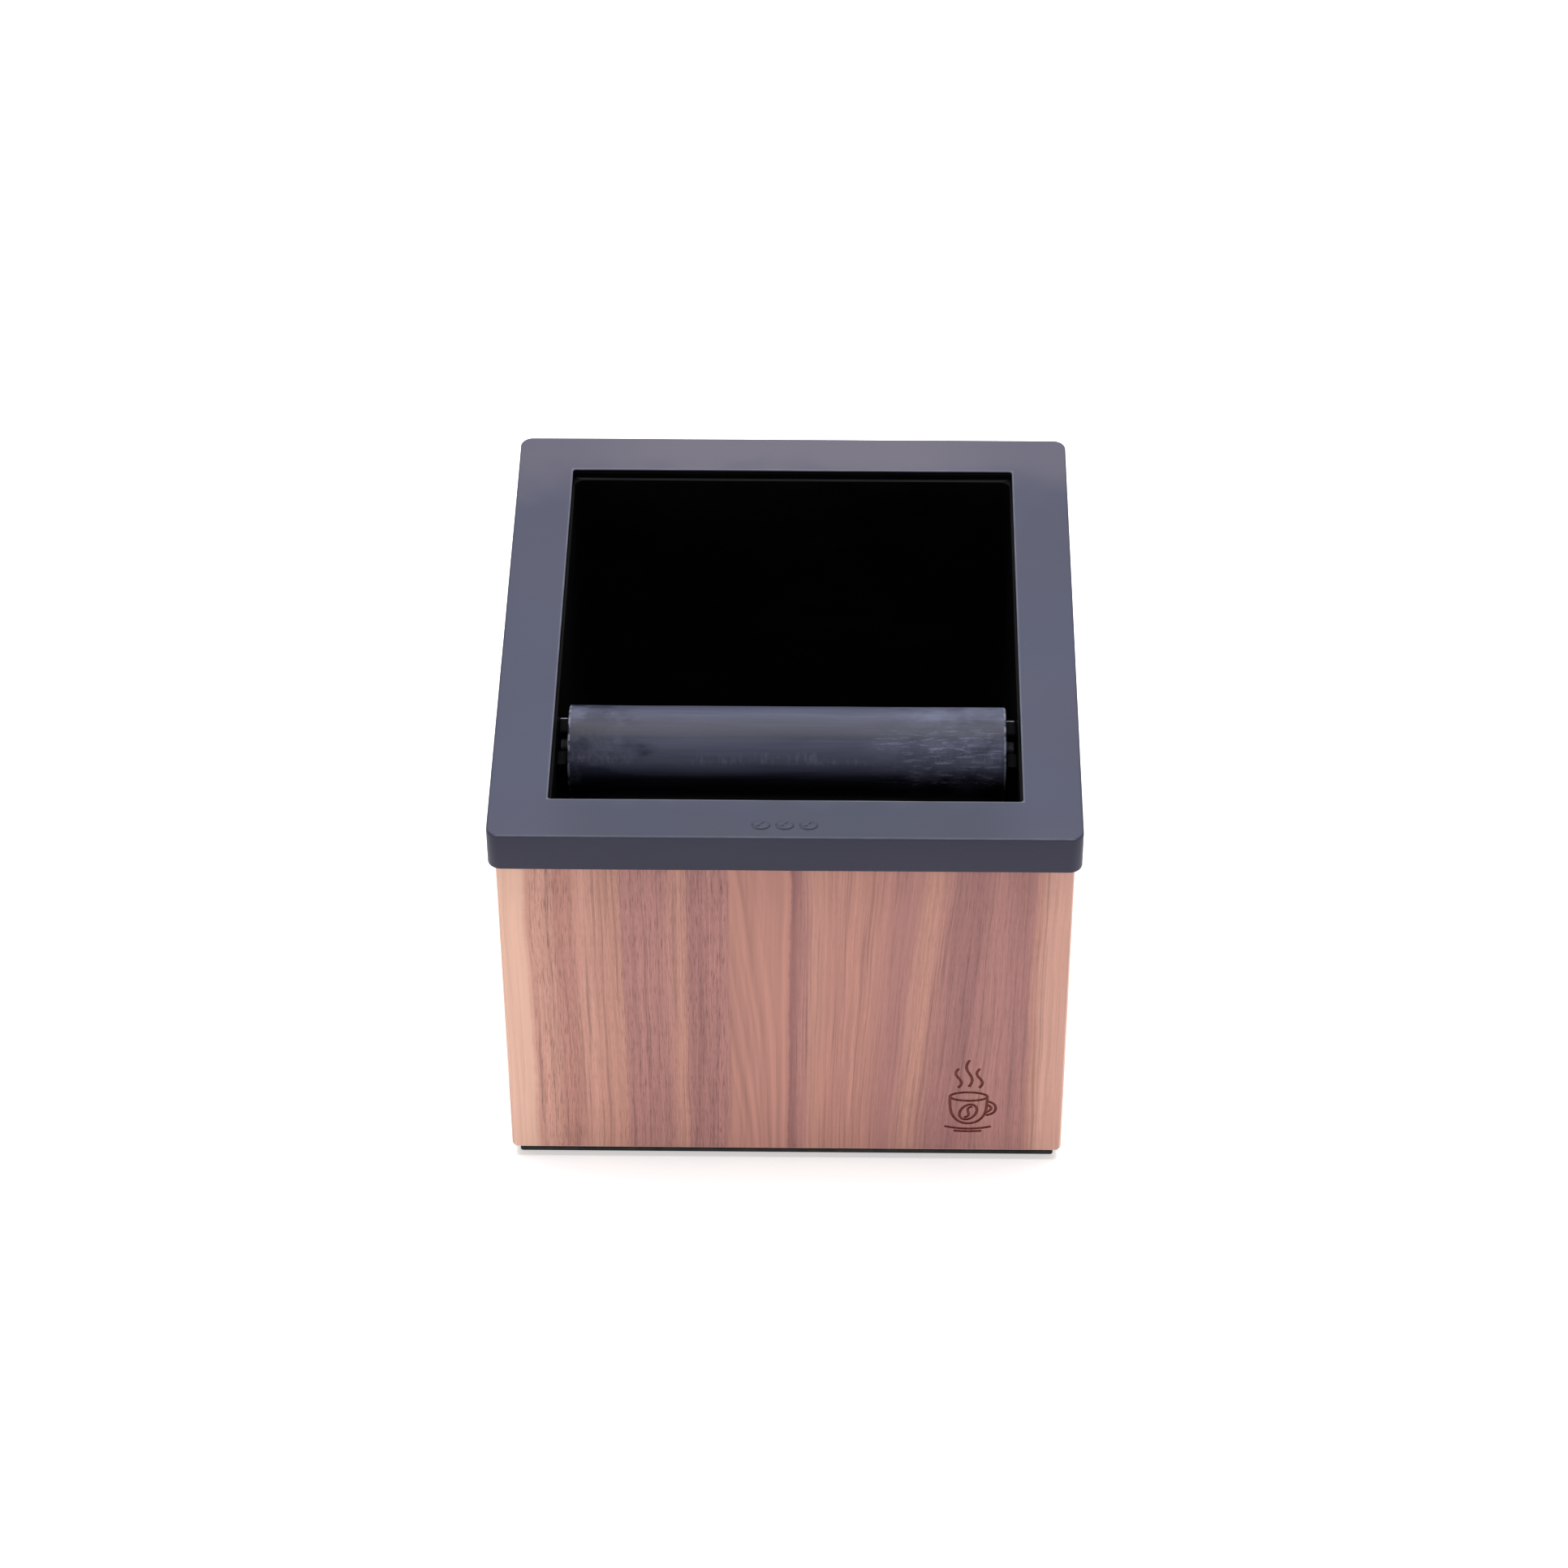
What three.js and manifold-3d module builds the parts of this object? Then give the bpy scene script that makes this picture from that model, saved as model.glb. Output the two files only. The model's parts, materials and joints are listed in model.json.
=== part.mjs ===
// An espresso knock box: a mitred walnut case, a lift-out grounds bin hung from its rim, a rubber
// knock bar resting in two cradles riveted inside the bin, and a silicone frame capping the top.
// Millimetres, +Z up, front face towards -Y, origin at the centre of the underside.
import * as THREE from "three";
import { mergeVertices } from "three/addons/utils/BufferGeometryUtils.js";
import Module from "manifold-3d";

// ---- Driving dimensions ----

const WIDTH = 180; // over the top frame, along X
const DEPTH = 195; // over the top frame, along Y
const HEIGHT = 142; // to the top of the raised motif
const GAP = 0.3; // between pieces that only rest on each other
const GLUE_LINE = 0.1; // between pieces that are glued together

// Top frame: a flat silicone rim with a skirt that grips the case.
const MOTIF_RELIEF = 0.4; // raised coffee beans on the front border
const BEAN_WIDTH = 5.8;
const BEAN_DEPTH = 4.2;
const BEAN_SPACING = 7.2;
const BEAN_Y = -91.8;
const FRAME_PLATE = 3.6; // thickness round the opening
const FRAME_DROP = 13.8; // height of the outside of the skirt
const SKIRT_WALL = 2;
const SKIRT_PLAY = 0.2; // between the skirt and the case
const FRAME_CORNER = 4;
const FRAME_EDGE = 1; // rounding of the top and bottom edges
const OPENING_WIDTH = 144;
const OPENING_DEPTH = 161;
const OPENING_CORNER = 1;
const LIP_THICKNESS = 0.8; // where the rim reaches over the bin's collar

// Base: a steel plate under the case with an anti-slip mat bonded to it.
const MAT_THICKNESS = 1.8;
const PLATE_THICKNESS = 2;
const BASE_INSET = 2.4; // from the case's outside
const BASE_SCREW_X = 62;
const BASE_SCREW_Y = 70;
const SCREW_RADIUS = 1.75;
const SCREW_HEAD_RADIUS = 3.4;
const SCREW_HEAD_HEIGHT = 1.2;
const SCREW_LENGTH = 7; // below the head
const PILOT_DEPTH = 5.6;
const MAT_HOLE_RADIUS = 4.6;

// Walnut case: four mitred walls with a floor let into a rebate.
const CASE_WALL = 12;
const CASE_CORNER = 2;
const CASE_BOTTOM_CHAMFER = 1;
const FLOOR_THICKNESS = 6;
const REBATE_WIDTH = 4;
const SPLINE_THICKNESS = 2.6;
const SPLINE_WIDTH = 9;
const SPLINE_END_MARGIN = 9; // solid wood left above and below each spline

// Grounds bin: it hangs by its flange on the case's top edge.
const BIN_WALL = 2;
const BIN_INSET = 0.7; // how far its wall shows inside the frame's opening
const COLLAR_WALL = 2; // a collar on the flange that lines the frame's opening
const BIN_CORNER = 3;
const FLANGE_THICKNESS = 2;
const FLANGE_INSET = 1.5; // from the case's outside
const BIN_SHOULDER = 80; // height where the walls start to taper
const BIN_TAPER = 3.5; // taper of each wall below the shoulder
const BIN_BASE = 2.5; // thickness of its bottom
const BIN_COVE = 7; // slope between walls and bottom
const PAD_RADIUS = 6;
const PAD_HEIGHT = 2.5;
const PAD_X = 50;
const PAD_Y = 58;

// Knock bar and its cradles: the rod drops into two open notches.
const BAR_Y = -41.5; // bar axis
const BAR_Z = 126;
const ROD_RADIUS = 4;
const ROD_END_PLAY = 0.4; // to the bin's wall
const ROD_CHAMFER = 0.6;
const CORE_RADIUS = 10;
const CORE_BORE = 4.3;
const SLEEVE_RADIUS = 14.5;
const SLEEVE_BORE = 10.2;
const SLEEVE_EDGE = 0.6;
const WASHER_THICKNESS = 2;
const CRADLE_THICKNESS = 2.9;
const CRADLE_PLAY = 0.2; // to the bin's wall
const SLEEVE_END_PLAY = 0.5; // to the cradle
const CRADLE_HALF_WIDTH = 11;
const CRADLE_TOP = 130.5;
const CRADLE_BOTTOM = 97;
const CRADLE_CORNER = 2;
const NOTCH_RADIUS = 4.2;
const RIVET_RADIUS = 1.6;
const RIVET_HEAD_RADIUS = 3;
const RIVET_HEAD_HEIGHT = 1;
const RIVET_OFFSET = 6; // each side of the bar axis
const RIVET_Z = 104;
const HOLE_PLAY = 0.15; // round screws and rivets

// ---- Heights and outlines worked out from them ----

const plateBottom = MAT_THICKNESS + GLUE_LINE;
const plateTop = plateBottom + PLATE_THICKNESS;
const caseBottom = plateTop + GLUE_LINE;
const floorTop = caseBottom + FLOOR_THICKNESS;
const frameTop = HEIGHT - MOTIF_RELIEF;
const frameBottom = frameTop - FRAME_DROP;
const frameUnderside = frameTop - FRAME_PLATE;
const flangeTop = frameUnderside - GAP;
const flangeBottom = flangeTop - FLANGE_THICKNESS;
const collarTop = frameTop - LIP_THICKNESS - GAP;
const caseTop = flangeBottom - GAP;
const binBottom = floorTop + GLUE_LINE + PAD_HEIGHT + GAP;

const pocketWidth = WIDTH - 2 * SKIRT_WALL;
const pocketDepth = DEPTH - 2 * SKIRT_WALL;
const caseWidth = pocketWidth - 2 * SKIRT_PLAY;
const caseDepth = pocketDepth - 2 * SKIRT_PLAY;
const binInnerWidth = OPENING_WIDTH - 2 * BIN_INSET;
const binInnerDepth = OPENING_DEPTH - 2 * BIN_INSET;
const cradleOuter = binInnerWidth / 2 - CRADLE_PLAY;
const cradleInner = cradleOuter - CRADLE_THICKNESS;
const sleeveHalf = cradleInner - SLEEVE_END_PLAY;

// ---- Materials ----

const finish = (color, roughness, metalness = 0) =>
  new THREE.MeshStandardMaterial({ color, roughness, metalness });
const silicone = finish(0x4b4d58, 0.55);
const walnut = finish(0xb5806c, 0.5);
const plywood = finish(0xc9a676, 0.7);
const blackPlastic = finish(0x0c0c0e, 0.35);
const blackSteel = finish(0x151517, 0.45, 0.6);
const blackRubber = finish(0x2c2d33, 0.6);
const nylon = finish(0x1b1b1d, 0.5);
const steel = finish(0x9a9ca0, 0.3, 1);

// ---- Solids ----

const wasm = await Module();
wasm.setup();

// A closed geometry as a manifold-3d solid, and back.
function solidOf(geometry) {
  const bare = geometry.clone();
  bare.deleteAttribute("normal");
  bare.deleteAttribute("uv");
  const merged = mergeVertices(bare, 1e-4);
  return new wasm.Manifold(
    new wasm.Mesh({
      numProp: 3,
      vertProperties: new Float32Array(merged.attributes.position.array),
      triVerts: new Uint32Array(merged.index.array),
    }),
  );
}

function geometryOf(solid) {
  const mesh = solid.getMesh();
  const geometry = new THREE.BufferGeometry();
  geometry.setAttribute("position", new THREE.BufferAttribute(mesh.vertProperties, 3));
  geometry.setIndex(new THREE.BufferAttribute(mesh.triVerts, 1));
  geometry.computeVertexNormals();
  return geometry;
}

const minus = (geometry, ...tools) =>
  geometryOf(tools.reduce((left, tool) => left.subtract(solidOf(tool)), solidOf(geometry)));
const union = (geometry, ...others) =>
  geometryOf(others.reduce((sum, other) => sum.add(solidOf(other)), solidOf(geometry)));
const common = (a, b) => geometryOf(solidOf(a).intersect(solidOf(b)));

// A rectangle with round corners, centred on the origin.
function roundedRectangle(width, depth, radius) {
  const x = width / 2 - radius;
  const y = depth / 2 - radius;
  const shape = new THREE.Shape();
  shape.absarc(x, y, radius, 0, Math.PI / 2);
  shape.absarc(-x, y, radius, Math.PI / 2, Math.PI);
  shape.absarc(-x, -y, radius, Math.PI, 1.5 * Math.PI);
  shape.absarc(x, -y, radius, 1.5 * Math.PI, 2 * Math.PI);
  shape.closePath();
  return shape;
}

// The same outline as the frame's opening, grown on all sides.
const openingShape = (grow = 0) =>
  roundedRectangle(OPENING_WIDTH + 2 * grow, OPENING_DEPTH + 2 * grow, OPENING_CORNER + grow);

// An upright slab of a shape from one height to another, with its edges rounded if asked.
function slab(shape, bottom, top, edge = 0, edgeSteps = 3, curveSegments = 5) {
  const geometry = new THREE.ExtrudeGeometry(shape, {
    depth: top - bottom - 2 * edge,
    curveSegments,
    bevelEnabled: edge > 0,
    bevelThickness: edge,
    bevelSize: edge,
    bevelOffset: -edge,
    bevelSegments: edgeSteps,
  });
  return geometry.translate(0, 0, bottom + edge);
}

// A slab whose lower outline is drawn in by the same amount on all four sides.
function taperedSlab(width, depth, radius, bottom, top, drawIn) {
  const geometry = slab(roundedRectangle(width, depth, radius), bottom, top);
  const position = geometry.attributes.position;
  for (let i = 0; i < position.count; i++) {
    if (position.getZ(i) > (bottom + top) / 2) continue;
    position.setX(i, position.getX(i) * (1 - (2 * drawIn) / width));
    position.setY(i, position.getY(i) * (1 - (2 * drawIn) / depth));
  }
  return geometry;
}

const box = (x0, x1, y0, y1, z0, z1) =>
  new THREE.BoxGeometry(x1 - x0, y1 - y0, z1 - z0).translate(
    (x0 + x1) / 2,
    (y0 + y1) / 2,
    (z0 + z1) / 2,
  );

const rod = (radius, bottom, top, segments = 24) =>
  new THREE.CylinderGeometry(radius, radius, top - bottom, segments)
    .rotateX(Math.PI / 2)
    .translate(0, 0, (bottom + top) / 2);

// A profile of [radius, height] points turned round the Z axis.
const turned = (points, segments) =>
  new THREE.LatheGeometry(
    points.map(([radius, height]) => new THREE.Vector2(radius, height)),
    segments,
  ).rotateX(Math.PI / 2);

// The four corners of a rectangle, as [suffix, sign of X, sign of Y].
const corners = [
  ["front_left", -1, -1],
  ["front_right", 1, -1],
  ["back_right", 1, 1],
  ["back_left", -1, 1],
];
const sides = [
  ["left", -1],
  ["right", 1],
];

const knockBox = new THREE.Group();

function addPiece(name, geometry, material, x = 0, y = 0, z = 0) {
  const mesh = new THREE.Mesh(geometry, material);
  mesh.name = name;
  mesh.position.set(x, y, z);
  knockBox.add(mesh);
  return mesh;
}

// ---- Top frame ----

function topFrame() {
  const outline = roundedRectangle(WIDTH, DEPTH, FRAME_CORNER);
  const pocket = roundedRectangle(pocketWidth, pocketDepth, FRAME_CORNER - SKIRT_WALL);
  const rim = minus(
    slab(outline, frameBottom, frameTop, FRAME_EDGE),
    slab(pocket, frameBottom - 1, frameUnderside),
    slab(openingShape(COLLAR_WALL + GAP), frameUnderside - 1, frameTop - LIP_THICKNESS),
    slab(openingShape(), frameUnderside, frameTop + 1),
  );
  const bean = new THREE.Shape().absellipse(0, 0, BEAN_WIDTH / 2, BEAN_DEPTH / 2, 0, 2 * Math.PI);
  const beans = [-1, 0, 1].map((place) =>
    slab(bean, frameTop - 1, HEIGHT, 0, 1, 12).translate(place * BEAN_SPACING, BEAN_Y, 0),
  );
  return union(rim, ...beans);
}
addPiece("top_frame", topFrame(), silicone);

// ---- Walnut case ----

// A spline lies across each corner's 45-degree mitre, halfway through the walls.
function splineBlank(corner, play) {
  const [, sx, sy] = corner;
  return new THREE.BoxGeometry(
    SPLINE_WIDTH + 2 * play,
    SPLINE_THICKNESS + 2 * play,
    caseTop - caseBottom - 2 * SPLINE_END_MARGIN + 2 * play,
  )
    .rotateZ((-sx * sy * Math.PI) / 4)
    .translate(
      sx * (caseWidth - CASE_WALL) * 0.5,
      sy * (caseDepth - CASE_WALL) * 0.5,
      (caseTop + caseBottom) / 2,
    );
}

function wallRing() {
  const outline = roundedRectangle(caseWidth, caseDepth, CASE_CORNER);
  const x = caseWidth / 2 - CASE_WALL;
  const y = caseDepth / 2 - CASE_WALL;
  const inside = corners.map(([, sx, sy]) => new THREE.Vector2(sx * x, sy * y));
  outline.holes.push(new THREE.Path(inside));
  const ring = slab(outline, caseBottom, caseTop, CASE_BOTTOM_CHAMFER, 1);
  const rebateX = x + REBATE_WIDTH;
  const rebateY = y + REBATE_WIDTH;
  const rebate = box(-rebateX, rebateX, -rebateY, rebateY, caseBottom - 1, floorTop);
  return minus(ring, rebate, ...corners.map((corner) => splineBlank(corner, GLUE_LINE)));
}

// The space between the two mitre planes at the ends of one wall.
function mitreWedge(towardsX, towardsY) {
  const reach = 10; // past the walls, outwards and inwards
  const inner = CASE_WALL + reach; // how far inwards the wedge starts
  const cut = GLUE_LINE / Math.SQRT2;
  const along = (towardsX ? caseDepth : caseWidth) / 2;
  const out = (towardsX ? caseWidth : caseDepth) / 2;
  const shape = new THREE.Shape([
    new THREE.Vector2(-(along + reach) + cut, out + reach),
    new THREE.Vector2(-(along - inner) + cut, out - inner),
    new THREE.Vector2(along - inner - cut, out - inner),
    new THREE.Vector2(along + reach - cut, out + reach),
  ]);
  const turn = Math.atan2(towardsY, towardsX) - Math.PI / 2;
  return slab(shape, caseBottom - 1, caseTop + 1).rotateZ(turn);
}

const ring = wallRing();
const walls = [
  ["case_front", 0, -1],
  ["case_right", 1, 0],
  ["case_back", 0, 1],
  ["case_left", -1, 0],
];
for (const [name, x, y] of walls) {
  addPiece(name, common(ring, mitreWedge(x, y)), walnut);
}
for (const corner of corners) {
  addPiece(`corner_spline_${corner[0]}`, splineBlank(corner, 0), plywood);
}

const screwHoles = (radius, bottom, top) =>
  corners.map(([, sx, sy]) =>
    rod(radius, bottom, top).translate(sx * BASE_SCREW_X, sy * BASE_SCREW_Y, 0),
  );

function caseFloor() {
  const halfX = caseWidth / 2 - CASE_WALL + REBATE_WIDTH - GLUE_LINE;
  const halfY = caseDepth / 2 - CASE_WALL + REBATE_WIDTH - GLUE_LINE;
  const board = box(-halfX, halfX, -halfY, halfY, caseBottom, floorTop - GLUE_LINE);
  const pilots = screwHoles(SCREW_RADIUS + HOLE_PLAY, caseBottom - 1, caseBottom + PILOT_DEPTH);
  return minus(board, ...pilots);
}
addPiece("case_floor", caseFloor(), plywood);

// ---- Base ----

const baseOutline = () =>
  roundedRectangle(caseWidth - 2 * BASE_INSET, caseDepth - 2 * BASE_INSET, CASE_CORNER);
const basePlate = minus(
  slab(baseOutline(), plateBottom, plateTop),
  ...screwHoles(SCREW_RADIUS + HOLE_PLAY, plateBottom - 1, plateTop + 1),
);
addPiece("base_plate", basePlate, blackSteel);
const antiSlipMat = minus(
  slab(baseOutline(), 0, MAT_THICKNESS),
  ...screwHoles(MAT_HOLE_RADIUS, -1, MAT_THICKNESS + 1),
);
addPiece("anti_slip_mat", antiSlipMat, blackRubber);

// A pan-head screw standing point up, its head's seat at height 0.
function baseScrew() {
  const blank = turned(
    [
      [0, -SCREW_HEAD_HEIGHT],
      [SCREW_HEAD_RADIUS * 0.7, -SCREW_HEAD_HEIGHT],
      [SCREW_HEAD_RADIUS, -SCREW_HEAD_HEIGHT * 0.45],
      [SCREW_HEAD_RADIUS, 0],
      [SCREW_RADIUS, 0],
      [SCREW_RADIUS, SCREW_LENGTH - 2.2 * SCREW_RADIUS],
      [0, SCREW_LENGTH],
    ],
    24,
  );
  const slotLength = SCREW_HEAD_RADIUS * 0.55;
  const slotHalf = 0.4;
  const slotTop = -SCREW_HEAD_HEIGHT * 0.3;
  const below = -SCREW_HEAD_HEIGHT - 1;
  return minus(
    blank,
    box(-slotLength, slotLength, -slotHalf, slotHalf, below, slotTop),
    box(-slotHalf, slotHalf, -slotLength, slotLength, below, slotTop),
  );
}
for (const [suffix, sx, sy] of corners) {
  const seat = plateBottom - GLUE_LINE / 2;
  addPiece(`base_screw_${suffix}`, baseScrew(), steel, sx * BASE_SCREW_X, sy * BASE_SCREW_Y, seat);
}

// ---- Grounds bin ----

const rivetHole = (sx, sy) =>
  rod(RIVET_RADIUS + HOLE_PLAY, -CASE_WALL, CASE_WALL)
    .rotateY(Math.PI / 2)
    .translate(sx * (binInnerWidth / 2), BAR_Y + sy * RIVET_OFFSET, RIVET_Z);

function groundsBin() {
  const outerWidth = binInnerWidth + 2 * BIN_WALL;
  const outerDepth = binInnerDepth + 2 * BIN_WALL;
  const outerCorner = BIN_CORNER + BIN_WALL;
  const flangeWidth = caseWidth - 2 * FLANGE_INSET;
  const flangeDepth = caseDepth - 2 * FLANGE_INSET;
  const shell = union(
    slab(roundedRectangle(outerWidth, outerDepth, outerCorner), BIN_SHOULDER, flangeTop),
    taperedSlab(outerWidth, outerDepth, outerCorner, binBottom, BIN_SHOULDER, BIN_TAPER),
    slab(roundedRectangle(flangeWidth, flangeDepth, BIN_CORNER), flangeBottom, flangeTop),
    slab(openingShape(COLLAR_WALL), flangeBottom, collarTop),
  );
  const inside = binBottom + BIN_BASE;
  const coveTop = inside + BIN_COVE;
  const coveShare = (BIN_SHOULDER - coveTop) / (BIN_SHOULDER - binBottom);
  const coveDrawIn = BIN_TAPER * coveShare;
  const cavity = [
    slab(openingShape(), flangeTop, HEIGHT),
    slab(roundedRectangle(binInnerWidth, binInnerDepth, BIN_CORNER), BIN_SHOULDER, HEIGHT),
    taperedSlab(binInnerWidth, binInnerDepth, BIN_CORNER, coveTop, BIN_SHOULDER, coveDrawIn),
    taperedSlab(
      binInnerWidth - 2 * coveDrawIn,
      binInnerDepth - 2 * coveDrawIn,
      BIN_CORNER,
      inside,
      coveTop,
      BIN_COVE,
    ),
  ];
  const holes = sides.flatMap(([, sx]) => [rivetHole(sx, -1), rivetHole(sx, 1)]);
  return minus(shell, ...cavity, ...holes);
}
addPiece("grounds_bin", groundsBin(), blackPlastic);

for (const [suffix, sx, sy] of corners) {
  const pad = turned(
    [
      [0, 0],
      [PAD_RADIUS, 0],
      [PAD_RADIUS, PAD_HEIGHT * 0.6],
      [PAD_RADIUS * 0.8, PAD_HEIGHT],
      [0, PAD_HEIGHT],
    ],
    24,
  );
  addPiece(`bin_pad_${suffix}`, pad, blackRubber, sx * PAD_X, sy * PAD_Y, floorTop);
}

// ---- Cradles and rivets ----

// An upright plate with a U notch open at the top, drawn about the bar axis and facing along X.
function cradle() {
  const top = CRADLE_TOP - BAR_Z;
  const bottom = CRADLE_BOTTOM - BAR_Z;
  const outline = new THREE.Shape();
  outline.moveTo(NOTCH_RADIUS, top);
  outline.absarc(0, 0, NOTCH_RADIUS, 0, -Math.PI, true);
  outline.lineTo(-NOTCH_RADIUS, top);
  outline.lineTo(-CRADLE_HALF_WIDTH, top);
  outline.absarc(
    -CRADLE_HALF_WIDTH + CRADLE_CORNER,
    bottom + CRADLE_CORNER,
    CRADLE_CORNER,
    Math.PI,
    1.5 * Math.PI,
  );
  outline.absarc(
    CRADLE_HALF_WIDTH - CRADLE_CORNER,
    bottom + CRADLE_CORNER,
    CRADLE_CORNER,
    1.5 * Math.PI,
    2 * Math.PI,
  );
  outline.lineTo(CRADLE_HALF_WIDTH, top);
  outline.closePath();
  const half = CRADLE_THICKNESS / 2;
  const plate = slab(outline, -half, half, 0, 1, 16);
  const holes = [-1, 1].map((sy) =>
    rod(RIVET_RADIUS + HOLE_PLAY, -half - 1, half + 1).translate(
      sy * RIVET_OFFSET,
      RIVET_Z - BAR_Z,
      0,
    ),
  );
  return minus(plate, ...holes).rotateY(Math.PI / 2).rotateX(Math.PI / 2);
}
for (const [side, sx] of sides) {
  const middle = (cradleInner + cradleOuter) / 2;
  addPiece(`bar_cradle_${side}`, cradle(), blackSteel, sx * middle, BAR_Y, BAR_Z);
}

// A rivet lying along X, its domed head at 0 and its upset tail outside the bin.
function rivet() {
  const grip = binInnerWidth / 2 + BIN_WALL - cradleInner + 2 * GLUE_LINE;
  return turned(
    [
      [0, -RIVET_HEAD_HEIGHT],
      [RIVET_HEAD_RADIUS * 0.6, -RIVET_HEAD_HEIGHT * 0.8],
      [RIVET_HEAD_RADIUS, 0],
      [RIVET_RADIUS, 0],
      [RIVET_RADIUS, grip],
      [RIVET_HEAD_RADIUS * 0.8, grip],
      [RIVET_HEAD_RADIUS * 0.8, grip + RIVET_HEAD_HEIGHT],
      [0, grip + RIVET_HEAD_HEIGHT],
    ],
    20,
  ).rotateY(Math.PI / 2);
}
for (const [side, sx] of sides) {
  for (const [place, sy] of [
    ["front", -1],
    ["back", 1],
  ]) {
    const mesh = addPiece(
      `cradle_rivet_${side}_${place}`,
      rivet(),
      steel,
      sx * (cradleInner - GLUE_LINE),
      BAR_Y + sy * RIVET_OFFSET,
      RIVET_Z,
    );
    mesh.rotation.z = sx > 0 ? 0 : Math.PI;
  }
}

// ---- Knock bar ----

// A tube lying along X and centred on the bar axis, its outer edges rounded.
function barTube(outer, bore, half, edge, segments = 48) {
  const steps = edge > 0 ? [0, 1, 2, 3] : [];
  const arc = (sign) =>
    steps.map((step) => {
      const angle = (step / 3) * (Math.PI / 2);
      const inwards = edge * (1 - Math.sin(angle));
      return [outer - edge * (1 - Math.cos(angle)), sign * (half - inwards)];
    });
  const square = (sign) => [[outer, sign * half]];
  const upper = edge > 0 ? arc(1) : square(1);
  const lower = edge > 0 ? arc(-1).reverse() : square(-1);
  return turned([[bore, -half], ...lower, ...upper, [bore, half], [bore, -half]], segments).rotateY(
    Math.PI / 2,
  );
}

const rodHalf = binInnerWidth / 2 - ROD_END_PLAY;
const barRod = turned(
  [
    [0, -rodHalf],
    [ROD_RADIUS - ROD_CHAMFER, -rodHalf],
    [ROD_RADIUS, -rodHalf + ROD_CHAMFER],
    [ROD_RADIUS, rodHalf - ROD_CHAMFER],
    [ROD_RADIUS - ROD_CHAMFER, rodHalf],
    [0, rodHalf],
  ],
  48,
).rotateY(Math.PI / 2);
addPiece("bar_rod", barRod, blackSteel, 0, BAR_Y, BAR_Z);

const coreHalf = sleeveHalf - WASHER_THICKNESS - GLUE_LINE;
addPiece("bar_core", barTube(CORE_RADIUS, CORE_BORE, coreHalf, 0), nylon, 0, BAR_Y, BAR_Z);
const sleeve = barTube(SLEEVE_RADIUS, SLEEVE_BORE, sleeveHalf, SLEEVE_EDGE);
addPiece("bar_sleeve", sleeve, blackRubber, 0, BAR_Y, BAR_Z);
for (const [side, sx] of sides) {
  const washer = barTube(CORE_RADIUS, CORE_BORE, WASHER_THICKNESS / 2, 0);
  const middle = sleeveHalf - WASHER_THICKNESS / 2;
  addPiece(`bar_end_washer_${side}`, washer, nylon, sx * middle, BAR_Y, BAR_Z);
}

export default knockBox;
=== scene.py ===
import json
import math
import random

import bmesh
import bpy
from mathutils import Matrix, Vector, noise


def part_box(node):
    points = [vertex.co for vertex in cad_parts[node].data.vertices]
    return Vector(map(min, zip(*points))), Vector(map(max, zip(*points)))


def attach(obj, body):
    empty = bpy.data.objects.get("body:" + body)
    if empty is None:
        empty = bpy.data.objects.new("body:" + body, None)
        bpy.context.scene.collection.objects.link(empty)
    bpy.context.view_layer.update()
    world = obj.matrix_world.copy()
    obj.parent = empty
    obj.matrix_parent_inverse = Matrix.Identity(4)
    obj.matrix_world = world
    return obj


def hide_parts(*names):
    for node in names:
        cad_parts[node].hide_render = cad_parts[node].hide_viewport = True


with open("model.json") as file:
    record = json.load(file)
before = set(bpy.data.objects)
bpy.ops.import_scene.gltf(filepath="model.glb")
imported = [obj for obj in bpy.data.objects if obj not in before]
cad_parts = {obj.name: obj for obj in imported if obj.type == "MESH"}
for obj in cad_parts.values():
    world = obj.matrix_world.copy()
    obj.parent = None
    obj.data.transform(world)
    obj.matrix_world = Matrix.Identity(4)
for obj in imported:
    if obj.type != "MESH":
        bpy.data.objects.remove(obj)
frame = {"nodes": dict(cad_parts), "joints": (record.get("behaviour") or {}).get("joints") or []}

# The looks of an espresso knock box. Metres, in the CAD's frame; sizes that the frame doesn't give are
# named here in millimetres and multiplied by MM.

MM = 0.001
QUARTER = math.pi / 2
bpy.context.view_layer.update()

SPIN = next(j for j in frame["joints"] if j["name"] == "sleeve_spin")
BAR_CENTRE = Vector(SPIN["pos_m"])
ALONG_X = Matrix.Rotation(QUARTER, 4, "Y")  # turns a piece made round Z to lie along X

# Sizes inside the CAD pieces' boxes
CASE_WALL = 12 * MM
CASE_CORNER = 2 * MM
REBATE = 4 * MM
BOTTOM_CHAMFER = 1 * MM  # of the case's boards
MITRE_GAP = 0.07 * MM
FRAME_BORDER_X = 18 * MM  # from the frame's outside to its opening
FRAME_BORDER_Y = 17 * MM
FRAME_CORNER = 4 * MM
FRAME_PLATE = 3.6 * MM
FRAME_HEM = 0.6 * MM  # rounding of the skirt's lower edges
SKIRT_WALL = 2 * MM
OPENING_CORNER = 1 * MM
LIP = 0.8 * MM  # thickness of the frame where it reaches over the bin's collar
COLLAR_WALL = 2 * MM
COLLAR_RISE = 2.8 * MM  # of the bin's collar over its flange
GAP = 0.3 * MM
MOTIF_RELIEF = 0.4 * MM  # how far the row of beans stands over the frame
BEAN_SIZE = (5.8 * MM, 4.2 * MM)
BEAN_SPACING = 7.2 * MM
BEAN_FROM_FRONT = 5.7 * MM
BIN_WALL = 2 * MM
BIN_TAPER = 3.5 * MM
BIN_SHOULDER = 80 * MM
BIN_BASE = 2.5 * MM
BIN_CORNER = 3 * MM
BIN_STEPS = (10, 8)  # points round each corner and along each side of the bin's loops
FLANGE = 2 * MM
CRADLE_PLAY = 0.2 * MM
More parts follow.
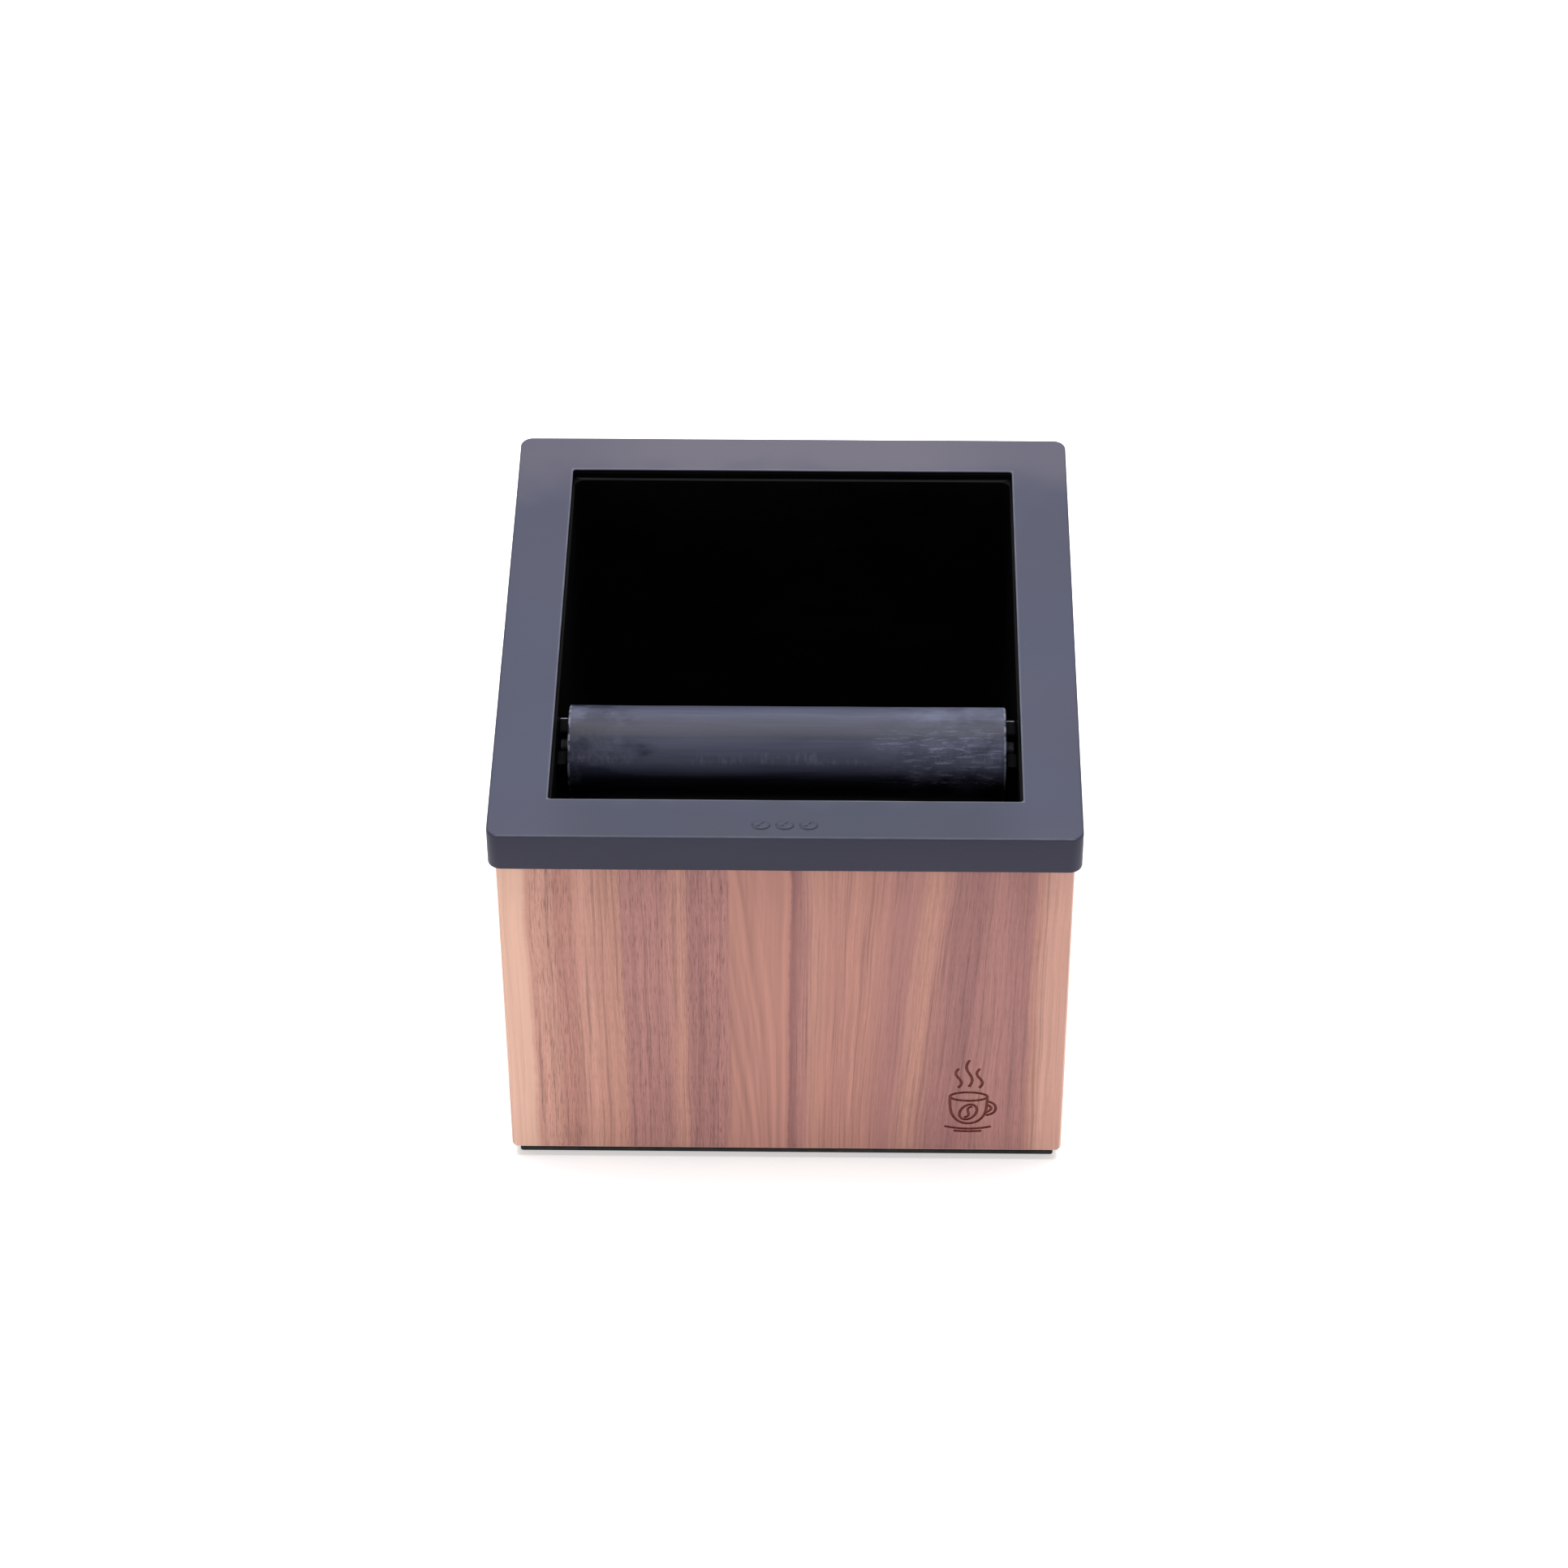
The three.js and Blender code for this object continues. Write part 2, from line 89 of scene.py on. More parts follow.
NOTCH_RADIUS = 4.2 * MM
SLEEVE_BORE = 10.2 * MM
CORE_BORE = 4.3 * MM
RIVET_RADIUS = 1.6 * MM
RIVET_HEAD = 1 * MM
SCREW_HEAD = 1.2 * MM
SCREW_RADIUS = 1.75 * MM
SCREW_PITCH = 0.9 * MM
SCREW_TURNS = 5
PLATE_HOLE = 1.9 * MM  # radius of the screw holes in the base plate
MAT_HOLE = 4.6 * MM  # and in the mat, wide enough for the heads
BASE_CORNER = 0.9 * MM  # of the base plate and the mat
EMBLEM_PLACE = (57.8 * MM, 9.6 * MM)  # its foot, from the board's middle and its lower edge
GROOVE_WIDTH = 0.95 * MM
GROOVE_DEPTH = 0.40 * MM

CORNERS = ("front_left", "front_right", "back_right", "back_left")


# ---------------------------------------------------------------- mesh tools


def arc(centre, radius, start, end, steps):
    """Points of an arc in a plane, from one angle to another in degrees."""
    angles = [math.radians(start + (end - start) * i / steps) for i in range(steps + 1)]
    return [(centre[0] + radius * math.cos(a), centre[1] + radius * math.sin(a)) for a in angles]


def rounded_loop(half_x, half_y, radius, z, corner_steps=8, side_steps=10):
    """A level rectangle with round corners, anticlockwise from its +X side."""
    signs = [(1, 1), (-1, 1), (-1, -1), (1, -1)]
    x, y = half_x - radius, half_y - radius
    corners = [
        [Vector((*p, z)) for p in arc((sx * x, sy * y), radius, 90 * k, 90 * k + 90, corner_steps)]
        for k, (sx, sy) in enumerate(signs)
    ]
    points = []
    for corner, following in zip(corners, corners[1:] + corners[:1]):
        points += corner
        points += [corner[-1].lerp(following[0], i / side_steps) for i in range(1, side_steps)]
    return points


def circle_loop(radius, height, steps):
    return [Vector((*p, height)) for p in arc((0, 0), radius, 0, 360, steps)[:-1]]


def loft(loops, closed=False):
    """Skins a stack of loops with as many points each, and caps its ends unless it closes on itself."""
    bm = bmesh.new()
    rows = [[bm.verts.new(point) for point in loop] for loop in loops]
    for lower, upper in zip(rows, rows[1:] + rows[:1] if closed else rows[1:]):
        for i in range(len(lower)):
            j = (i + 1) % len(lower)
            bm.faces.new((lower[i], lower[j], upper[j], upper[i]))
    if not closed:
        bm.faces.new(rows[0][::-1])
        bm.faces.new(rows[-1])
    return bm


def turned(profile, steps, closed=False):
    """A solid of revolution round Z from [radius, height] points."""
    return loft([circle_loop(radius, height, steps) for radius, height in profile], closed)


def soften(bm, amount, grain, seed, low, high):
    """Moves the surface in and out a little, as soft or worn pieces are, without leaving a box."""
    noise.seed_set(seed)  # noise_vector would give another surface each run without it
    for vert in bm.verts:
        push = noise.noise_vector(vert.co / grain) * amount
        for i in range(3):
            vert.co[i] = min(max(vert.co[i] + push[i], low[i]), high[i])


def round_edges(bm, width, angle):
    """Bevels every edge that turns by more than the angle."""
    limit = math.radians(angle)
    edges = [e for e in bm.edges if len(e.link_faces) == 2 and e.calc_face_angle() > limit]
    bmesh.ops.bevel(
        bm, geom=edges, offset=width, segments=2, profile=0.5, affect="EDGES", clamp_overlap=True
    )


def add_piece(name, bm, materials, body, replaces=(), sharp=35):
    """Turns a bmesh into a smooth-shaded piece that rides on a CAD body."""
    bmesh.ops.remove_doubles(bm, verts=bm.verts, dist=1e-7)
    bmesh.ops.recalc_face_normals(bm, faces=bm.faces)
    mesh = bpy.data.meshes.new(name)
    bm.to_mesh(mesh)
    bm.free()
    mesh.shade_smooth()
    mesh.set_sharp_from_angle(angle=math.radians(sharp))
    piece = bpy.data.objects.new(name, mesh)
    bpy.context.scene.collection.objects.link(piece)
    for material in materials:
        mesh.materials.append(material)
    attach(piece, body)
    if replaces:
        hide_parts(*replaces)
    return piece


def middle_of(node):
    low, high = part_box(node)
    return (low + high) / 2


def stand_on(bm, node):
    """Moves a piece made upwards from the origin to the middle of a CAD node's underside."""
    place = middle_of(node)
    bmesh.ops.translate(bm, vec=(place.x, place.y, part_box(node)[0].z), verts=bm.verts)
    return bm


def domed(radius, height, angles):
    """The profile of a screw's or rivet's round head, from its crown at height 0 down to its edge."""
    turns = [math.radians(angle) for angle in angles]
    return [(radius * math.cos(a), height * (1 - math.sin(a))) for a in turns]


def carve(piece, cutter_bm, cutter_material=None):
    """Cuts a mesh away from a piece for good; the cut faces take the cutter's material."""
    mesh = bpy.data.meshes.new("cutter")
    bmesh.ops.recalc_face_normals(cutter_bm, faces=cutter_bm.faces)
    cutter_bm.to_mesh(mesh)
    cutter_bm.free()
    if cutter_material:
        mesh.materials.append(cutter_material)
    cutter = bpy.data.objects.new("cutter", mesh)
    bpy.context.scene.collection.objects.link(cutter)
    cut = piece.modifiers.new("cut", "BOOLEAN")
    cut.operation = "DIFFERENCE"
    cut.solver = "EXACT"
    cut.material_mode = "TRANSFER" if cutter_material else "INDEX"
    cut.object = cutter
    bpy.context.view_layer.update()
    evaluated = piece.evaluated_get(bpy.context.evaluated_depsgraph_get())
    carved = bpy.data.meshes.new_from_object(evaluated)
    piece.modifiers.remove(cut)
    bpy.data.objects.remove(cutter)
    piece.data = carved
    carved.shade_smooth()
    carved.set_sharp_from_angle(angle=math.radians(35))


# ---------------------------------------------------------------- material tools


def srgb(red, green, blue):
    """A screen colour, 0 to 255, as the linear colour that a shader takes."""
    channels = [c / 255 for c in (red, green, blue)]
    linear = [c / 12.92 if c <= 0.04045 else ((c + 0.055) / 1.055) ** 2.4 for c in channels]
    return (*linear, 1.0)


class Finish:
    """A material whose nodes are made by short calls. Its space is the object's, in millimetres."""

    def __init__(self, name, **shader_values):
        self.material = bpy.data.materials.new(name)
        self.material.use_nodes = True
        self.tree = self.material.node_tree
        self.shader = self.tree.nodes["Principled BSDF"]
        for socket, value in shader_values.items():
            name = socket.replace("_", " ").title().replace("Ior", "IOR")
            self.shader.inputs[name].default_value = value

    def node(self, kind, inputs=(), **settings):
        made = self.tree.nodes.new(kind)
        for key, value in settings.items():
            setattr(made, key, value)
        for socket, value in dict(inputs).items():
            if isinstance(value, bpy.types.NodeSocket):
                self.tree.links.new(value, made.inputs[socket])
            else:
                made.inputs[socket].default_value = value
        return made

    def space(self, scale=1, offset=(0, 0, 0)):
        """Object coordinates in millimetres, stretched by a scale and then shifted."""
        stretch = scale if isinstance(scale, tuple) else (scale,) * 3
        coordinates = self.node("ShaderNodeTexCoord").outputs["Object"]
        inputs = {"Vector": coordinates, "Scale": [s / MM for s in stretch], "Location": offset}
        return self.node("ShaderNodeMapping", inputs).outputs["Vector"]

    def noise(self, scale, offset=(0, 0, 0), detail=2.0, roughness=0.5, distortion=0.0):
        """Noise from 0 to 1 whose grain is 1/scale millimetres, with one scale or one for each axis."""
        inputs = {
            "Vector": self.space(scale, offset),
            "Scale": 1.0,
            "Detail": detail,
            "Roughness": roughness,
            "Distortion": distortion,
        }
        return self.node("ShaderNodeTexNoise", inputs).outputs["Fac"]

    def math(self, operation, a, b=0.0):
        return self.node("ShaderNodeMath", {0: a, 1: b}, operation=operation).outputs[0]

    def add(self, total, *terms):
        for term in terms:
            total = self.math("ADD", total, term)
        return total

    def less(self, a, b):
        return self.math("SUBTRACT", a, b)

    def times(self, product, *factors):
        for factor in factors:
            product = self.math("MULTIPLY", product, factor)
        return product

    def spread(self, value, amount):
        """A 0 to 1 value turned into one from -amount to +amount."""
        return self.times(self.less(value, 0.5), 2 * amount)

    def step(self, value, low, high, out_low=0.0, out_high=1.0):
        """A smooth change from out_low to out_high as a value goes from low to high."""
        inputs = {"Value": value, "From Min": low, "From Max": high, "To Min": out_low, "To Max": out_high}
        made = self.node("ShaderNodeMapRange", inputs, interpolation_type="SMOOTHSTEP")
        return made.outputs["Result"]

    def drop(self, value, low, high):
        """A smooth fall from 1 to 0 as a value goes from low to high."""
        return self.step(value, low, high, 1.0, 0.0)

    def between(self, value, rise, fall):
        """1 between two smooth edges and 0 outside: rise and fall are each (where it starts, ends)."""
        return self.times(self.step(value, *rise), self.drop(value, *fall))

    def axes(self, vector):
        made = self.node("ShaderNodeSeparateXYZ", {"Vector": vector})
        return made.outputs["X"], made.outputs["Y"], made.outputs["Z"]

    def join(self, x, y, z):
        return self.node("ShaderNodeCombineXYZ", {"X": x, "Y": y, "Z": z}).outputs["Vector"]

    def ramp(self, value, stops):
        """A colour for each value, from (value, colour) stops."""
        made = self.node("ShaderNodeValToRGB", {"Fac": value})
        elements = made.color_ramp.elements
        elements[0].position, elements[0].color = stops[0]
        elements[1].position, elements[1].color = stops[-1]
        for position, color in stops[1:-1]:
            elements.new(position).color = color
        return made.outputs["Color"]

    def mix(self, share, a, b):
        """A colour between two others: a where the share is 0, b where it is 1."""
        return self.node("ShaderNodeMix", {0: share, 6: a, 7: b}, data_type="RGBA").outputs[2]

    def bright(self, color, factor):
        """A colour with its brightness times a factor."""
        made = self.node("ShaderNodeHueSaturation", {"Color": color, "Value": factor})
        return made.outputs["Color"]

    def bump(self, height, depth, under=None):
        """A relief of that depth in millimetres, over another one if given."""
        inputs = {"Height": height, "Distance": depth * MM, "Strength": 1.0}
        if under:
            inputs["Normal"] = under
        return self.node("ShaderNodeBump", inputs).outputs["Normal"]

    def use(self, **links):
        for socket, value in links.items():
            self.tree.links.new(value, self.shader.inputs[socket.replace("_", " ").title()])
        return self.material


# ---------------------------------------------------------------- materials


def silicone():
    """Grey-blue moulded silicone: satin, faintly cloudy, with a fine grain and lint; painted shade on its
    sides and the middle of its front, a painted sheen along its back and painted highlights along its
    edges.
    """
    f = Finish("silicone", specular_ior_level=0.14)
    cloud = f.noise((0.011, 0.014, 0.02), offset=(3, 1, 0))
    tint = f.noise((0.016, 0.022, 0.02), offset=(8, 5, 2))
    smear = f.noise((0.02, 0.10, 0.1), offset=(7, 3, 1), detail=4, roughness=0.6)
    grain = f.noise(5)
    color = f.ramp(tint, [(0.35, (0.0345, 0.0362, 0.0600, 1)), (0.65, (0.0322, 0.0367, 0.0612, 1))])
    x, y, z = f.axes(f.space())
    side, depth = f.math("ABSOLUTE", x), f.math("ABSOLUTE", y)
    upwards = f.step(f.axes(f.node("ShaderNodeTexCoord").outputs["Normal"])[2], 0.5, 0.95)
    # Painted shade: faces that don't point up take a darker, purpler copy of the colour.
    color = f.mix(upwards, (0.0338, 0.0332, 0.0568, 1), color)
    # A painted sheen makes the back of the rim paler, and painted shade darkens the middle of its front.
    wavering = f.add(y, f.spread(f.noise(0.05), 14.0))
    at_back = f.times(f.step(wavering, 60.0, 90.0), f.step(side, 35.0, 80.0, 1.0, 0.6))
    at_front = f.times(f.drop(wavering, -86.0, -74.0), f.drop(side, 55.0, 78.0))
    dust_and_sheen, rubbed_and_shaded = f.times(at_back, upwards), f.times(at_front, upwards)
    uneven = f.add(f.spread(cloud, 0.10), f.spread(smear, 0.07))
    # Painted shade: faces that don't point up are made darker than the top; the cloud and smear vary at
    # random.
    shade = f.add(0.86, f.times(upwards, 0.14), uneven)
    # Painted shade: the middle of the front border's top is made up to a fifth darker.
    color = f.bright(color, f.less(shade, f.times(rubbed_and_shaded, 0.20)))
    # Painted sheen: the back of the top is mixed towards a pale grey-mauve.
    color = f.mix(f.times(dust_and_sheen, 0.5), color, (0.108, 0.092, 0.110, 1))
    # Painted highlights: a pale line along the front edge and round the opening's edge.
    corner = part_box("top_frame")[1] / MM
    from_side = f.less(side, corner.x - FRAME_BORDER_X / MM)
    from_end = f.less(depth, corner.y - FRAME_BORDER_Y / MM)
    inner_edge = f.drop(f.math("MAXIMUM", from_side, from_end), 0.40, 0.60)
    outer_edge = f.drop(y, 0.45 - corner.y, 0.70 - corner.y)
    high = f.step(z, corner.z - 0.85, corner.z - 0.65)
    highlight_strength = f.add(0.30, f.spread(f.noise(0.15, offset=(1, 1, 8)), 0.20))
    edge_highlight = f.times(f.math("MAXIMUM", inner_edge, outer_edge), high, highlight_strength)
    color = f.mix(edge_highlight, color, (0.150, 0.155, 0.190, 1))
    # A few pale specks of lint
    lint = f.node("ShaderNodeTexVoronoi", {"Vector": f.space(0.16), "Scale": 1.0})
    speck = f.drop(lint.outputs["Distance"], 0.025, 0.05)
    rare = f.step(lint.outputs["Color"], 0.90, 0.92)
    color = f.mix(f.times(speck, rare, 0.35), color, (0.30, 0.30, 0.34, 1))
    rough = f.add(0.52, f.add(f.spread(smear, 0.09), f.spread(grain, 0.04)))
    relief = f.bump(grain, 0.012, f.bump(f.noise(0.4), 0.02))
    return f.use(base_color=color, roughness=rough, normal=relief)


# Tones of the walnut under the studio light, and how strong that light is on an upright face
FACE_LIGHT = 1.19
GRAIN_MIDDLE = 70.0  # the height, in millimetres, about which leaning grain turns
SAPWOOD = srgb(227, 180, 159)
BLOND = srgb(202, 151, 135)
HONEY = srgb(202, 148, 132)
AMBER = srgb(191, 137, 121)
CLAY = srgb(185, 129, 116)
ROSE = srgb(176, 122, 115)
MAUVE = srgb(168, 115, 110)
PLUM = srgb(158, 107, 104)
UMBER = srgb(145, 95, 92)

# Bands across the front board, as (millimetres from its middle, tone)
FRONT_BANDS = [
    (-88, SAPWOOD), (-80, SAPWOOD), (-78.6, HONEY), (-72.5, HONEY), (-69.5, CLAY), (-67, CLAY),
    (-61, HONEY), (-57, AMBER), (-51, AMBER), (-50, ROSE), (-38, ROSE), (-32, AMBER),
    (-29, MAUVE), (-18.6, ROSE), (-17.4, CLAY), (-10, CLAY), (0.6, CLAY), (1.5, UMBER),
    (5, ROSE), (9, AMBER), (13, CLAY), (21, CLAY), (26, CLAY), (35, MAUVE), (42, AMBER),
    (49, MAUVE), (57, PLUM), (64, ROSE), (69, MAUVE), (75.5, MAUVE), (78, AMBER), (80, BLOND),
]

# How open the grain is across the front board, as (millimetres from its middle, 0 closed to 1 open)
FRONT_PORES = [
    (-88, 0.02), (-79, 0.04), (-77.5, 0.8), (-70, 0.9), (-68, 1.0), (-65, 0.75), (-63, 0.4), (-53, 0.45),
    (-50.5, 0.85), (-38, 0.9), (-33, 0.5), (-29, 0.95), (-19, 1.0), (-17.5, 0.03), (0, 0.05), (3, 0.4),
    (9, 0.15), (33, 0.25), (45, 0.4), (58, 0.7), (64, 0.5), (74, 0.6), (78, 0.2), (88, 0.04),
]


def board_bands(seed, half_width):
    """Tones and pores for the other boards: sapwood at one edge, then random heartwood."""
    pick = random.Random(seed)
    bands = [(-half_width, SAPWOOD), (-half_width + 5 + 6 * pick.random(), BLOND)]
    pores = [(-half_width, 0.1), (bands[1][0], 0.2)]
    while bands[-1][0] < half_width - 16 and len(bands) < 28:
        at = bands[-1][0] + 4 + 9 * pick.random()
        bands.append((at, pick.choice((HONEY, AMBER, CLAY, ROSE, MAUVE, PLUM))))
        pores.append((at, 0.15 + 0.85 * pick.random()))
    bands.append((half_width, pick.choice((HONEY, BLOND))))
    pores.append((half_width, 0.2))
    return bands, pores


def walnut(name, across, bands, pores, seed, arches=0.0):
    """Walnut with upright grain. across is the axis that runs over the board's width; arches is how
    strongly growth rings show as long arches near the board's middle."""
    f = Finish(name, specular_ior_level=0.3)
    x, y, z = f.axes(f.space())
    width, thick = (x, y) if across == "X" else (y, x)

    # The grain leans and wanders: everything that follows is drawn in the wandering width.
    flat = (1.0, 0.3) if across == "X" else (0.3, 1.0)
    drift = f.noise((0.012 * flat[0], 0.012 * flat[1], 0.012), offset=(seed, 0, seed), detail=1)
    ripple = f.noise((0.05 * flat[0], 0.05 * flat[1], 0.022), offset=(0, seed, 0), detail=1)
    feather = f.noise((0.5 * flat[0], 0.5 * flat[1], 0.035), offset=(seed, 5, 0), detail=1)
    fringe = f.noise((0.3 * flat[0], 0.3 * flat[1], 0.3), offset=(3, seed, 9))
    leaning = f.between(width, (4.0, 38.0), (50.0, 80.0))
    from_middle = f.less(z, GRAIN_MIDDLE)
    lean = f.times(from_middle, -0.065, leaning)
    wander = f.add(f.spread(drift, 1.5), f.spread(ripple, 0.9), f.spread(feather, 0.35))
    grain_x = f.add(width, wander, lean)

    half = -bands[0][0]
    place = f.math("DIVIDE", f.add(grain_x, f.spread(fringe, 0.5), half), 2 * half)

    def share(at):
        return (at + half) / (2 * half)

    tones = f.ramp(place, [(share(at), tone) for at, tone in bands])
    open_grain = f.ramp(place, [(share(at), (value, value, value, 1)) for at, value in pores])

    def upright(density, rise, shift, detail):
        """Noise drawn out along the grain, in cells of 1/density by 1/rise millimetres."""
        vector = f.join(f.times(grain_x, density), f.times(thick, density), f.times(z, rise))
        vector = f.node("ShaderNodeVectorMath", {0: vector, 1: (shift, seed, shift)}, operation="ADD")
        inputs = {"Vector": vector.outputs[0], "Scale": 1.0, "Detail": detail, "Roughness": 0.6}
        return f.node("ShaderNodeTexNoise", inputs).outputs["Fac"]

    broad = upright(0.28, 0.007, 21.0, 2.0)
    streak = upright(0.65, 0.010, 3.0, 2.0)
    line = upright(1.2, 0.013, 9.0, 1.0)
    thread = upright(2.2, 0.020, 13.0, 1.0)
    fibre = upright(3.4, 0.05, 5.0, 3.0)
    vessel = f.step(upright(3.4, 0.13, 1.0, 1.5), 0.55, 0.65)
    fine_vessel = f.step(upright(5.5, 0.26, 15.0, 1.0), 0.56, 0.68)
    dark_line = f.step(line, 0.54, 0.70)
    calm = f.step(open_grain, 0.0, 0.2, 0.25, 1.0)
    closed_share = f.add(0.12, f.times(open_grain, 0.55))
    pore = f.math("MAXIMUM", f.times(vessel, open_grain), f.times(fine_vessel, closed_share))

    stripes = f.add(f.spread(streak, 0.26), f.spread(thread, 0.17), f.spread(fibre, 0.23))
    stripes = f.less(stripes, f.times(dark_line, 0.12))
    shade = f.add(1.03, f.spread(broad, 0.09), f.times(stripes, calm))
    if arches:
        # Growth rings cut lengthwise: long streaks that sweep down to the right and then hang upright.
        sweep = f.times(from_middle, f.step(grain_x, -13.0, 1.0, 0.12, 0.0))
        along = f.join(f.times(f.add(grain_x, sweep), 0.42), f.times(thick, 0.42), f.times(z, 0.006))
        rings = f.node("ShaderNodeTexNoise", {"Vector": along, "Scale": 1.0, "Detail": 2.0})
        near = f.between(grain_x, (-18.5, -17.5), (-1.0, 3.0))
        shade = f.add(shade, f.times(f.spread(rings.outputs["Fac"], arches), near))
    color = f.bright(tones, f.times(shade, 1 / FACE_LIGHT))
    violet = f.times(f.add(f.times(pore, 0.54), f.times(dark_line, 0.17)), calm)
    color = f.mix(violet, color, (0.125, 0.052, 0.052, 1))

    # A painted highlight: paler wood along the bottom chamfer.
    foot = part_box("case_front")[0].z / MM
    color = f.mix(f.step(z, foot + 0.4, foot + 1.0, 0.35, 0.0), color, (0.60, 0.42, 0.34, 1))

    rough = f.add(0.46, f.spread(fibre, 0.10), f.times(pore, 0.18))
    relief = f.bump(f.less(f.times(fibre, 0.35), pore), 0.03)
    return f.use(base_color=color, roughness=rough, normal=relief)


def burnt_wood():
    """The scorched inside of a laser-cut groove."""
    f = Finish("burnt_wood", specular_ior_level=0.2)
    soot = f.noise((1.4, 1.4, 0.25), detail=3)
    color = f.ramp(soot, [(0.3, srgb(92, 42, 38)), (0.7, srgb(128, 70, 62))])
    rough = f.add(0.7, f.spread(soot, 0.15))
    return f.use(base_color=color, roughness=rough, normal=f.bump(soot, 0.05))


def plywood():
    """Pale birch ply: fine straight grain with a few darker flecks."""
    f = Finish("plywood", specular_ior_level=0.25)
    grain = f.noise((0.9, 0.02, 0.9), detail=3, roughness=0.6)
    fleck = f.step(f.noise((1.6, 0.22, 1.6), offset=(4, 4, 4), detail=1), 0.66, 0.74)
    color = f.ramp(grain, [(0.3, srgb(196, 160, 118)), (0.7, srgb(222, 190, 148))])
    color = f.mix(f.times(fleck, 0.4), color, srgb(150, 108, 72))
    rough = f.add(0.6, f.spread(grain, 0.1))
    return f.use(base_color=color, roughness=rough, normal=f.bump(grain, 0.03))


def bin_plastic():
    """Black moulded plastic: a soft gloss with a slight orange peel, and faint scratches going down."""
    f = Finish("bin_plastic", specular_ior_level=0.05)
    peel = f.noise(0.9)
    scratch = f.step(f.noise((2.6, 2.6, 0.05)), 0.62, 0.70)
    stain = f.noise((0.03, 0.03, 0.05), offset=(2, 9, 4), detail=4, roughness=0.65)
    color = f.ramp(stain, [(0.35, (0.0012, 0.0012, 0.0015, 1)), (0.75, (0.0034, 0.0029, 0.0028, 1))])
    rough = f.add(0.40, f.spread(stain, 0.14), f.times(scratch, 0.10))
    relief = f.bump(peel, 0.015, f.bump(scratch, 0.005))
    return f.use(base_color=color, roughness=rough, normal=relief)


# How chalky the bar's rubber is round its axis: (degrees up from facing the front, share of chalk)
BAR_RUB = [
    (0, 0.0), (10, 0.02), (19, 0.20), (29, 0.32), (39, 0.27), (49, 0.27), (59, 0.10), (69, 0.01),
    (81, 0.08), (95, 0.30), (111, 0.18), (150, 0.10),
]


